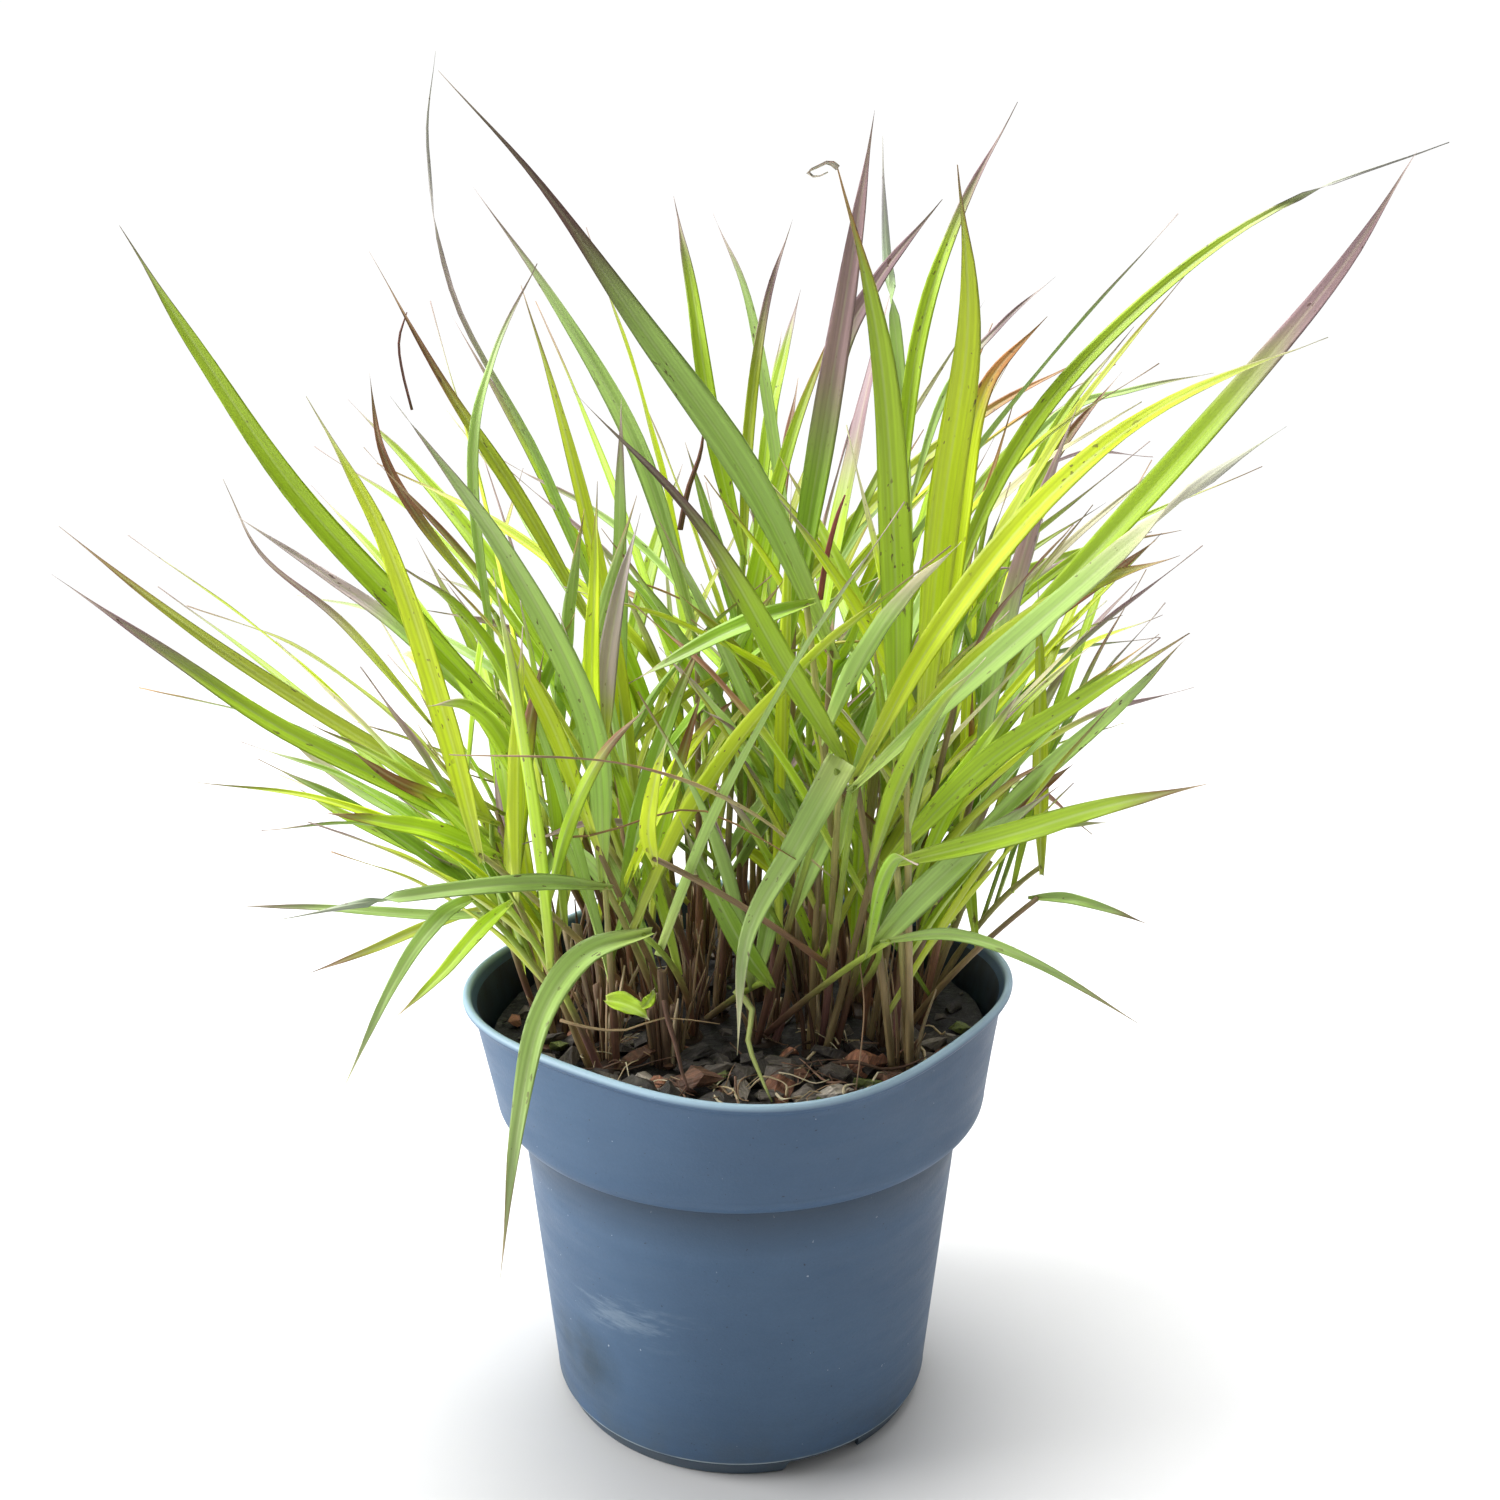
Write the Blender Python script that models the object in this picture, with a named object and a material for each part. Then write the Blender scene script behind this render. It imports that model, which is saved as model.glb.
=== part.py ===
# Switchgrass in a round nursery pot: pot, potting soil, bark mulch, last year's cut
# stems and this year's leafy tufts. Metres, +Z up, and the pot's front faces -Y.
# The origin is the middle of the pot's foot, on the surface that it stands on.

import math
import random

import bmesh
import bpy
import numpy as np
from mathutils import Vector
from mathutils.bvhtree import BVHTree

mm = 0.001

# Driving dimensions of the pot, a five litre nursery container.
pot = {
    "height": 186 * mm,
    "rimRadius": 112.5 * mm,
    "lip": 3.0 * mm,  # how far the rolled lip stands out of the band
    "lipDepth": 4.5 * mm,
    "bandHeight": 45.6 * mm,
    "bandFootRadius": 103 * mm,
    "shoulder": 12.5 * mm,  # height of the step from the band in to the body
    "bodyTopRadius": 92.5 * mm,
    "bodyFootRadius": 81 * mm,
    "footHeight": 8.4 * mm,
    "footRadius": 77 * mm,
    "wall": 1.8 * mm,
    "floor": 2.4 * mm,
    "sides": 40,
    "squareness": 0.046,  # the soft rim is squeezed a little square
    "squareTurn": math.radians(9),
    "notches": 3,
    "notchTurn": math.radians(26),  # middle of the first notch, from the front to +X
    "notchWidth": 32 * mm,
    "drainHoles": 6,
    "drainRadius": 6 * mm,
    "drainRing": 48 * mm,
}

gap = 0.4 * mm  # between pieces that touch

soil = {
    "top": 162 * mm,
    "holeDepth": 24 * mm,
    "holeRadius": 9.4 * mm,
    "stubHoleRadius": 8.0 * mm,
    "sides": 32,
}

mulch = {
    "thickness": 4 * mm,
    "chips": 42,
    "smallest": 6 * mm,
    "largest": 12.5 * mm,
    "corners": 8,
    "seed": 11,
}

crown = {
    "radius": 8.2 * mm,
    "stubRadius": 6.8 * mm,
    "sides": 6,
    "spacing": 14.0 * mm,  # sets how close the spiral of crowns is wound
    "ringRadius": 86 * mm,
    "frontEdge": -33 * mm,  # no crown grows nearer the front than this
    "stubEvery": 4,  # each fourth crown holds last year's cut stems
}

stem = {
    "footRadius": 1.7 * mm,
    "topRadius": 1.15 * mm,
    "rings": 3,
    "sides": 3,
    "perCrown": 4,
    "spread": 4.6 * mm,
}

stub = {"count": 4, "sides": 4, "radius": 2.1 * mm, "lowest": 24 * mm, "highest": 52 * mm, "seed": 5}

leaf = {
    "stations": 6,
    "freeStations": 5,
    "keel": 1.1 * mm,
    "seed": 23,
    "perStem": 2,
    "clearance": 0.7 * mm,
    "overlap": 4 * mm,  # how far a stem runs on into the leaf at its top
}

# Where the photograph was taken from, so that a leaf can be placed by the pixels that it
# covers. Distances in millimetres, and the picture is 1500 pixels square.
eye = {"x": 4.0, "y": -657.5, "z": 476.6, "pitch": 16.3, "focal": 1700.0, "middle": 750.0}

# Leaves that give the plant its outline: the pixels they pass, from root to tip, their
# depth in millimetres at the root and at the tip (minus is nearer), and their width.
seenLeaves = [
    ("leftTall", [(522, 735), (420, 628), (300, 497), (195, 345), (118, 224)], -15, -100, 10.5),
    ("leftFarUpper", [(505, 815), (390, 755), (255, 672), (150, 598), (57, 525)], 10, 45, 7),
    ("leftFarLower", [(500, 842), (400, 788), (275, 725), (160, 648), (50, 573)], -20, -62, 8.6),
    ("leftPaleUnder", [(505, 862), (420, 820), (345, 780), (268, 722)], 40, 85, 8.5),
    ("leftBrownTip", [(500, 825), (440, 800), (395, 780), (347, 748)], -35, -75, 6.5),
    ("leftShort", [(500, 880), (420, 850), (345, 815), (296, 787)], 25, 45, 6.5),
    ("leftOlive", [(500, 858), (440, 833), (385, 822), (322, 812)], -48, -120, 8.4),
    ("leftFlat", [(500, 915), (430, 915), (330, 908), (217, 905)], -5, 0, 5),
    ("leftFlatFront", [(612, 888), (530, 883), (400, 897), (280, 920)], -68, -165, 7),
    ("leftLowPale", [(495, 905), (430, 925), (370, 950), (302, 976)], 10, 15, 5.5),
    ("leftDroop", [(478, 896), (440, 918), (395, 980), (338, 1100)], -50, -120, 7),
    ("leftDown", [(512, 902), (480, 930), (440, 975), (393, 1020)], -68, -140, 6.5),
    ("frontDroop", [(652, 932), (585, 955), (540, 1020), (517, 1130), (499, 1287)], -80, -146, 11),
    ("leftThread", [(440, 735), (345, 625), (262, 555), (222, 478)], 30, 95, 4.5),
    ("leftPurple", [(470, 700), (400, 628), (330, 578), (228, 510)], 15, 30, 7),
    ("leftBrownArc", [(600, 640), (520, 500), (445, 385), (368, 250)], 5, 10, 7),
    ("tallThread", [(620, 660), (540, 462), (455, 300), (428, 150), (436, 50)], 10, 25, 6),
    ("tallBroad", [(835, 660), (755, 490), (640, 325), (545, 190), (437, 68)], -45, -80, 13.8),
    ("greyArc", [(700, 650), (640, 455), (560, 310), (472, 185)], 35, 100, 9.5),
    ("crossing", [(500, 700), (473, 480), (492, 360), (537, 262)], 0, -10, 5),
    ("redTip", [(500, 620), (420, 520), (382, 450), (369, 372)], 20, 35, 5),
    ("leftBright", [(482, 862), (445, 720), (385, 540), (305, 395)], -72, -140, 9.4),
    ("leftMiddle", [(570, 690), (500, 575), (425, 480), (347, 398)], 45, 110, 8.5),
    ("bentBroad", [(604, 890), (592, 730), (510, 560), (388, 393)], -70, -135, 10.8),
    ("innerBright", [(600, 855), (560, 745), (525, 670), (498, 612)], -80, -125, 7),
    ("topSpearA", [(745, 565), (715, 440), (692, 290), (673, 195)], 15, 30, 8),
    ("topSpearB", [(795, 600), (772, 430), (748, 300), (713, 212)], 65, 140, 6),
    ("topSpearC", [(742, 600), (748, 440), (765, 310), (793, 218)], 50, 65, 5.5),
    ("topSpearD", [(752, 590), (768, 430), (785, 350), (801, 288)], 85, 170, 6.5),
    ("topPurple", [(785, 660), (822, 440), (850, 270), (875, 108)], 0, -25, 11.6),
    ("topBrownTip", [(897, 770), (895, 560), (880, 350), (838, 165)], -72, -165, 12.5),
    ("topNeedle", [(912, 560), (898, 360), (886, 240), (882, 135)], 45, 100, 6),
    ("topSidePurple", [(805, 600), (830, 385), (875, 285), (943, 198)], 25, 35, 10),
    ("topGreyTip", [(895, 560), (915, 360), (955, 225), (1018, 100)], 25, 30, 7.5),
    ("topBroad", [(920, 750), (942, 520), (968, 330), (958, 163)], -55, -150, 13),
    ("topThinSide", [(905, 520), (945, 395), (1000, 325), (1057, 275)], 75, 150, 4.4),
    ("orangeEdge", [(937, 720), (960, 510), (985, 390), (1048, 315)], -35, -22, 9.5),
    ("rightArc", [(925, 660), (1005, 468), (1115, 330), (1270, 212), (1452, 142)], -5, 62, 8),
    ("rightPurple", [(950, 705), (1110, 535), (1240, 390), (1340, 270), (1418, 150)], -30, -150, 9.8),
    ("rightYellow", [(852, 785), (930, 645), (1040, 505), (1165, 405), (1330, 335)], -82, -185, 9.4),
    ("rightThinUpper", [(985, 500), (1060, 415), (1130, 390), (1215, 372)], 70, 160, 5.2),
    ("rightGlaucous", [(850, 792), (960, 690), (1075, 590), (1190, 492), (1290, 425)], -92, -232, 8.6),
    ("rightOlive", [(900, 740), (985, 655), (1080, 590), (1180, 555)], -100, -190, 8.6),
    ("rightBrownish", [(1000, 660), (1060, 610), (1110, 575), (1160, 537)], -5, -15, 6),
    ("rightLowA", [(885, 865), (985, 765), (1090, 695), (1190, 632)], -62, -150, 9.6),
    ("rightLowB", [(950, 862), (1040, 775), (1120, 705), (1187, 638)], -35, -48, 7.5),
    ("rightFlat", [(888, 866), (1000, 838), (1100, 808), (1212, 783)], -78, -160, 9.2),
    ("rightFlatBack", [(935, 830), (1000, 828), (1060, 825), (1115, 822)], 25, 35, 5.5),
    ("rightUpright", [(1041, 875), (1040, 780), (1040, 680), (1038, 580)], 10, -5, 7.5),
    ("rightInner", [(900, 845), (950, 790), (990, 735), (1025, 685)], -70, -95, 7),
    ("rightBrownShort", [(990, 835), (1020, 805), (1045, 785), (1075, 763)], 0, -10, 6),
    ("rightDroop", [(880, 942), (955, 935), (1040, 965), (1152, 1032)], -88, -118, 5),
    ("rightDroopShort", [(1028, 898), (1065, 898), (1105, 908), (1150, 925)], -15, -30, 5),
    ("rightDiagonal", [(872, 950), (925, 893), (985, 840), (1060, 785)], -74, -86, 12),
    ("frontFolded", [(843, 760), (796, 846), (747, 938), (737, 1057)], -92, -100, 11.5),
    ("frontShort", [(772, 988), (742, 945), (708, 880), (678, 815)], -62, -88, 9),
    ("frontBrownTip", [(845, 765), (785, 668), (700, 525), (573, 390)], -78, -185, 10.5),
    ("frontLevel", [(815, 602), (750, 622), (690, 650), (628, 683)], -92, -150, 7.4),
    ("innerPurple", [(605, 745), (606, 680), (618, 600), (640, 512)], -45, -52, 9),
    ("innerUpright", [(606, 850), (592, 700), (594, 590), (597, 480)], -58, -68, 7),
    ("rightSpray", [(985, 640), (1015, 520), (1060, 420), (1135, 325)], 50, 110, 7),
    ("frontNewShoot", [(655, 865), (648, 830), (655, 780), (668, 735)], -84, -94, 6.5),
    ("backSpray", [(760, 640), (768, 490), (774, 390), (782, 330)], 76, 236, 7),
    ("backLeft", [(600, 640), (540, 540), (500, 470), (462, 420)], 70, 205, 7),
    ("backRight", [(900, 620), (960, 520), (1010, 450), (1075, 395)], 70, 200, 7.5),
    ("leftLowThin", [(545, 850), (520, 760), (470, 640), (415, 535)], 60, 120, 8),
]

# The plant's outline in the picture, which leaves grown by chance keep inside.
outline = [
    (60, 600), (66, 500), (128, 236), (290, 160), (437, 75), (640, 160), (713, 200), (870, 120),
    (958, 170), (1018, 110), (1200, 170), (1430, 150), (1410, 215), (1320, 350), (1280, 450),
    (1210, 540), (1190, 640), (1205, 790), (1150, 930), (1140, 1025), (1030, 960), (930, 930),
    (620, 930), (500, 1000), (345, 1085), (305, 970), (225, 905), (150, 760),
]

# Leaves that no pixel places: how they lean, rise and bend, by chance within limits.
freeLeaf = {
    "lengths": (150 * mm, 265 * mm),
    "widths": (5.5 * mm, 10 * mm),
    "leanInside": math.radians(9),
    "leanOutside": math.radians(44),
    "leanSpread": math.radians(13),
    "bend": (0.10, 0.42),
    "tries": 18,
    "reach": 226 * mm,  # the furthest that one comes forward or goes back
    "frontDepth": 30 * mm,  # in front of this, the picture itself gives the long leaves
    "frontSpread": 330,  # pixels from the clump's middle
    "middleRow": 760,
}

# Shorter leaves that fill the middle of the clump.
innerLeaf = {
    "lengths": (95 * mm, 185 * mm),
    "widths": (6.5 * mm, 10.5 * mm),
    "lean": (math.radians(6), math.radians(40)),
    "bend": (0.15, 0.9),
    "tries": 10,
    "count": 54,
}


def circle(radius, count, height, turn=0.0):
    # Points round +Z, anticlockwise seen from above.
    steps = [turn + 2 * math.pi * i / count for i in range(count)]
    return [Vector((radius * math.cos(a), radius * math.sin(a), height)) for a in steps]


def rimSquare(height, angle):
    # How far the squeezed rim departs from a circle, fading to nothing at the band's foot.
    bandFoot = pot["height"] - pot["bandHeight"]
    share = max(0.0, (height - bandFoot) / pot["bandHeight"])
    fromFront = angle + math.pi / 2 - pot["squareTurn"]
    return 1 + pot["squareness"] * share * (math.cos(4 * fromFront) - 0.46)


def squareAt(point):
    return rimSquare(point.z, math.atan2(point.y, point.x))


def wallRadius(height, inset):
    # Radius of the pot's outside at a height, less an inset, along its band and body.
    bandFoot = pot["height"] - pot["bandHeight"]
    bodyTop = bandFoot - pot["shoulder"]
    bandTop = pot["rimRadius"] - pot["lip"]
    if height >= bandFoot:
        share = (height - bandFoot) / pot["bandHeight"]
        return pot["bandFootRadius"] + (bandTop - pot["bandFootRadius"]) * share - inset
    if height >= bodyTop:
        share = (height - bodyTop) / pot["shoulder"]
        round_ = math.sin(share * math.pi / 2) ** 1.3
        return pot["bodyTopRadius"] + (pot["bandFootRadius"] - pot["bodyTopRadius"]) * round_ - inset
    share = (height - pot["footHeight"]) / (bodyTop - pot["footHeight"])
    return pot["bodyFootRadius"] + (pot["bodyTopRadius"] - pot["bodyFootRadius"]) * share - inset


def addObject(name, bm, colour, roughness):
    mesh = bpy.data.meshes.new(name)
    bmesh.ops.recalc_face_normals(bm, faces=bm.faces)
    bm.to_mesh(mesh)
    bm.free()
    obj = bpy.data.objects.new(name, mesh)
    bpy.context.collection.objects.link(obj)
    paint(obj, colour, roughness)
    return obj


def paint(obj, colour, roughness):
    key = "finish " + "_".join(f"{part:.2f}" for part in colour)
    material = bpy.data.materials.get(key) or bpy.data.materials.new(key)
    material.use_nodes = True
    shader = material.node_tree.nodes["Principled BSDF"]
    shader.inputs["Base Color"].default_value = (*colour, 1)
    shader.inputs["Roughness"].default_value = roughness
    shader.inputs["Metallic"].default_value = 0
    obj.data.materials.clear()
    obj.data.materials.append(material)


def closeRings(bm, rings):
    # A closed skin through rings of points, with a flat cap at each end.
    made = [[bm.verts.new(point) for point in ring] for ring in rings]
    for lower, upper in zip(made, made[1:]):
        if len(upper) == 1:
            for i, corner in enumerate(lower):
                bm.faces.new((corner, lower[(i + 1) % len(lower)], upper[0]))
            continue
        for i, corner in enumerate(lower):
            after = (i + 1) % len(lower)
            bm.faces.new((corner, lower[after], upper[after], upper[i]))
    bm.faces.new(list(reversed(made[0])))
    if len(made[-1]) > 1:
        bm.faces.new(made[-1])
    return bm


def turned(profile, sides, shaped=None):
    # A solid of revolution from (radius, height) points, bottom to top.
    rings = []
    for radius, height in profile:
        ring = circle(radius, sides, height)
        if shaped:
            ring = [Vector((p.x * shaped(p), p.y * shaped(p), p.z)) for p in ring]
        rings.append(ring)
    return closeRings(bmesh.new(), rings)


def cut(obj, tool):
    tool.hide_render = True
    tool.display_type = "WIRE"
    modifier = obj.modifiers.new("cut " + tool.name, "BOOLEAN")
    modifier.operation = "DIFFERENCE"
    modifier.object = tool
    return modifier


def applyAll(obj):
    # Bakes the modifiers into the mesh and removes the tools that they used.
    tools = [m.object for m in obj.modifiers if m.type == "BOOLEAN" and m.object]
    graph = bpy.context.evaluated_depsgraph_get()
    graph.update()
    mesh = bpy.data.meshes.new_from_object(obj.evaluated_get(graph))
    obj.modifiers.clear()
    obj.data = mesh
    for tool in set(tools):
        bpy.data.objects.remove(tool)


def fuse(name, solids, colour, roughness):
    # One Boolean union joins a node's pieces. The thin leaves need the MANIFOLD solver.
    group = bpy.data.collections.new(name + " pieces")
    bpy.context.scene.collection.children.link(group)
    first = addObject(name, solids[0], colour, roughness)
    for index, solid in enumerate(solids[1:]):
        extra = addObject(f"{name} piece {index}", solid, colour, roughness)
        bpy.context.collection.objects.unlink(extra)
        group.objects.link(extra)
    modifier = first.modifiers.new("join", "BOOLEAN")
    modifier.operation = "UNION"
    modifier.operand_type = "COLLECTION"
    modifier.collection = group
    modifier.solver = "MANIFOLD"
    applyAll(first)
    for extra in list(group.objects):
        bpy.data.objects.remove(extra)
    bpy.data.collections.remove(group)
    paint(first, colour, roughness)
    return first


def makePot():
    bandFoot = pot["height"] - pot["bandHeight"]
    bodyTop = bandFoot - pot["shoulder"]
    lipFoot = pot["height"] - pot["lipDepth"]
    floorTop = pot["footHeight"] + pot["floor"]
    outer = [
        (pot["footRadius"], 0),
        (pot["footRadius"] + 3.4 * mm, pot["footHeight"] - 1.2 * mm),
        (pot["bodyFootRadius"] - 1.2 * mm, pot["footHeight"]),
        (pot["bodyFootRadius"], pot["footHeight"] + 0.8 * mm),
    ]
    levels = [bodyTop] + [bodyTop + pot["shoulder"] * i / 4 for i in range(1, 5)]
    outer += [(wallRadius(z, 0), z) for z in levels]
    outer += [
        (wallRadius(lipFoot, 0), lipFoot),
        (pot["rimRadius"] - 0.8 * mm, lipFoot + 0.4 * mm),
        (pot["rimRadius"], lipFoot + 1.6 * mm),
        (pot["rimRadius"] - 0.5 * mm, pot["height"] - 0.6 * mm),
        (pot["rimRadius"] - 1.5 * mm, pot["height"]),
        (pot["rimRadius"] - pot["lip"] - pot["wall"] + 0.7 * mm, pot["height"]),
        (pot["rimRadius"] - pot["lip"] - pot["wall"], pot["height"] - 0.8 * mm),
    ]
    inner = [(wallRadius(z, pot["wall"]), z) for z in reversed([floorTop] + levels)]
    shell = outer + inner
    made = addObject("pot", turned(shell, pot["sides"], squareAt), (0.16, 0.25, 0.36), 0.5)

    hollow = turned(
        [(pot["footRadius"] - 2.2 * mm, -5 * mm), (pot["footRadius"] - 1.6 * mm, pot["footHeight"])],
        pot["sides"],
    )
    cut(made, addObject("foot hollow", hollow, (0.2, 0.2, 0.2), 0.5))
    for i in range(pot["notches"]):
        turn = pot["notchTurn"] + 2 * math.pi * i / pot["notches"]
        out = Vector((math.sin(turn), -math.cos(turn), 0))
        side = Vector((math.cos(turn), math.sin(turn), 0))
        half = pot["notchWidth"] / 2
        top = pot["footHeight"] - 1.6 * mm
        section = [(-half - 3 * mm, -5 * mm), (half + 3 * mm, -5 * mm), (half, top), (-half, top)]
        near, far = 60 * mm, 100 * mm
        rings = [
            [out * depth + side * across + Vector((0, 0, up)) for across, up in section]
            for depth in (near, far)
        ]
        cut(made, addObject(f"notch {i}", closeRings(bmesh.new(), rings), (0.2, 0.2, 0.2), 0.5))
    for i in range(pot["drainHoles"] + 1):
        ring = 0 if i == pot["drainHoles"] else pot["drainRing"]
        turn = 2 * math.pi * i / pot["drainHoles"]
        middle = Vector((ring * math.cos(turn), ring * math.sin(turn), 0))
        drill = [
            [middle + p for p in circle(pot["drainRadius"], 10, z)]
            for z in (pot["footHeight"] - 4 * mm, floorTop + 4 * mm)
        ]
        cut(made, addObject(f"drain {i}", closeRings(bmesh.new(), drill), (0.2, 0.2, 0.2), 0.5))
    applyAll(made)
    paint(made, (0.16, 0.25, 0.36), 0.5)
    made.data.shade_smooth()
    made.data.set_sharp_from_angle(angle=math.radians(40))
    return made


def crownPlaces():
    # Crowns lie on a sunflower spiral, left out where only bark mulch shows at the front.
    places = []
    for i in range(1, 90):
        radius = crown["spacing"] * math.sqrt(i)
        if radius > crown["ringRadius"]:
            break
        turn = i * math.radians(137.5) + 0.4
        spot = Vector((radius * math.cos(turn), radius * math.sin(turn), 0))
        if spot.y < crown["frontEdge"] - 0.25 * abs(spot.x):
            continue
        places.append(spot)
    return places


def makeSoil(places):
    floorTop = pot["footHeight"] + pot["floor"]
    bandFoot = pot["height"] - pot["bandHeight"]
    bodyTop = bandFoot - pot["shoulder"]
    inset = pot["wall"] + gap + 1.2 * mm
    levels = [floorTop + gap, bodyTop, bodyTop + 4 * mm, bandFoot, soil["top"]]
    profile = [(wallRadius(z, inset), z) for z in levels]
    made = addObject("potting_soil", turned(profile, soil["sides"], squareAt), (0.04, 0.03, 0.02), 0.95)
    for i, (spot, isStub) in enumerate(places):
        radius = soil["stubHoleRadius"] if isStub else soil["holeRadius"]
        low, high = soil["top"] - soil["holeDepth"], soil["top"] + 10 * mm
        hole = [[spot + p for p in circle(radius, crown["sides"], z)] for z in (low, high)]
        cut(made, addObject(f"hole {i}", closeRings(bmesh.new(), hole), (0.2, 0.2, 0.2), 0.9))
    applyAll(made)
    paint(made, (0.04, 0.03, 0.02), 0.95)
    return made


def barkChip(dice, middle, size, lowest):
    # An angular chip: the hull of a few points on a flattened ball, none under the lowest.
    bm = bmesh.new()
    turn = dice.uniform(0, math.pi)
    tilt = dice.uniform(-0.35, 0.35)
    for i in range(mulch["corners"]):
        high = 1 - 2 * (i + 0.5) / mulch["corners"]
        around = i * math.radians(137.5) + dice.uniform(-0.5, 0.5)
        flat = math.sqrt(1 - high * high)
        x = size * flat * math.cos(around) * dice.uniform(0.85, 1.1)
        y = size * 0.62 * flat * math.sin(around) * dice.uniform(0.85, 1.1)
        z = size * 0.42 * high + x * tilt
        across = x * math.cos(turn) - y * math.sin(turn)
        along = x * math.sin(turn) + y * math.cos(turn)
        bm.verts.new(Vector((middle.x + across, middle.y + along, max(middle.z + z, lowest))))
    bmesh.ops.convex_hull(bm, input=bm.verts)
    loose = [v for v in bm.verts if not v.link_faces]
    bmesh.ops.delete(bm, geom=loose, context="VERTS")
    return bm


def chipPlaces(places):
    # Chips cover the mulch and keep clear of the crowns' holes and of the pot's wall.
    dice = random.Random(mulch["seed"])
    spots = []
    for _ in range(4000):
        if len(spots) >= mulch["chips"]:
            break
        size = mulch["smallest"] + (mulch["largest"] - mulch["smallest"]) * dice.random() ** 1.1
        turn, reach = dice.uniform(0, 2 * math.pi), math.sqrt(dice.random())
        radius = reach * (wallRadius(soil["top"], 4.5 * mm) * rimSquare(soil["top"], turn) - size * 1.1)
        spot = Vector((radius * math.cos(turn), radius * math.sin(turn), 0))
        if any((spot - place).length < soil["holeRadius"] + 1 * mm + size * 1.1 for place, _ in places):
            continue
        if any((spot - other).length < (size + otherSize) * 0.62 for other, otherSize in spots):
            continue
        spots.append((spot, size))
    return spots, dice


def makeMulch(places):
    low, high = soil["top"] + gap, soil["top"] + mulch["thickness"]
    profile = [(wallRadius(z, pot["wall"] + gap + 1.2 * mm), z) for z in (low, high)]
    solids = [turned(profile, soil["sides"], squareAt)]
    spots, dice = chipPlaces(places)
    for spot, size in spots:
        middle = spot + Vector((0, 0, high + size * dice.uniform(0.02, 0.24)))
        solids.append(barkChip(dice, middle, size, low + 0.5 * mm))
    made = fuse("bark_mulch", solids, (0.07, 0.05, 0.04), 0.9)
    for i, (spot, isStub) in enumerate(places):
        radius = soil["stubHoleRadius"] if isStub else soil["holeRadius"]
        hole = [
            [spot + p for p in circle(radius, crown["sides"], z)]
            for z in (low - 5 * mm, high + 30 * mm)
        ]
        cut(made, addObject(f"mulch hole {i}", closeRings(bmesh.new(), hole), (0.2, 0.2, 0.2), 0.9))
    applyAll(made)
    paint(made, (0.07, 0.05, 0.04), 0.9)
    return made


def crownSolid(spot, radius):
    low, high = soil["top"] - soil["holeDepth"] + gap, soil["top"] + mulch["thickness"]
    levels = [(1.0, low), (1.0, high - 1 * mm), (0.62, high + 2.2 * mm)]
    rings = [[spot + p for p in circle(radius * share, crown["sides"], z)] for share, z in levels]
    return closeRings(bmesh.new(), rings)


def seenAt(pixel, depth):
    # The point that a pixel shows, at a depth along Y. Everything here is in millimetres.
    pitch = math.radians(eye["pitch"])
    ahead = Vector((0, math.cos(pitch), -math.sin(pitch)))
    up = Vector((0, math.sin(pitch), math.cos(pitch)))
    across = (pixel[0] - eye["middle"]) / eye["focal"]
    above = (eye["middle"] - pixel[1]) / eye["focal"]
    ray = ahead + up * above + Vector((across, 0, 0))
    start = Vector((eye["x"], eye["y"], eye["z"]))
    return (start + ray * ((depth - start.y) / ray.y)) * mm


def pixelOf(point):
    # Where a point shows in the picture.
    pitch = math.radians(eye["pitch"])
    away = point / mm - Vector((eye["x"], eye["y"], eye["z"]))
    ahead = away.y * math.cos(pitch) - away.z * math.sin(pitch)
    up = away.y * math.sin(pitch) + away.z * math.cos(pitch)
    return (
        eye["middle"] + eye["focal"] * away.x / ahead,
        eye["middle"] - eye["focal"] * up / ahead,
    )


def insideOutline(point):
    # Counts the outline's edges to the right of the point, odd inside.
    x, y = pixelOf(point)
    inside = False
    for (ax, ay), (bx, by) in zip(outline, outline[1:] + outline[:1]):
        if (ay > y) != (by > y) and x < ax + (bx - ax) * (y - ay) / (by - ay):
            inside = not inside
    return inside


def smooth(points, share):
    # A point on the smooth curve through the given points, share 0 to 1 of the way.
    spans = len(points) - 1
    index = min(int(share * spans), spans - 1)
    t = share * spans - index
    a = points[index - 1] if index > 0 else points[0] * 2 - points[1]
    b, c = points[index], points[index + 1]
    d = points[index + 2] if index + 2 <= spans else points[-1] * 2 - points[-2]
    return 0.5 * (
        b * 2 + (c - a) * t + (a * 2 - b * 5 + c * 4 - d) * t * t + (b * 3 - a - c * 3 + d) * t**3
    )


def leafWidth(share):
    # Width along a blade: narrow at its root, widest a third of the way, then to a point.
    rise = 0.5 + 0.5 * math.sin(min(1.0, share / 0.34) * math.pi / 2)
    fall = (1 - max(0.0, (share - 0.3) / 0.7) ** 1.6) if share > 0.3 else 1.0
    return rise * max(0.0, fall)


def leafFrame(points, facing, share):
    # The middle of the blade, its side direction and its upper normal at a share of it.
    middle = smooth(points, share)
    along = (smooth(points, min(1, share + 0.02)) - smooth(points, max(0, share - 0.02))).normalized()
    side = along.cross(facing)
    if side.length < 0.05:
        side = along.cross(Vector((1, 0, 0)))
    side.normalize()
    return middle, side, side.cross(along).normalized()


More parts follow.
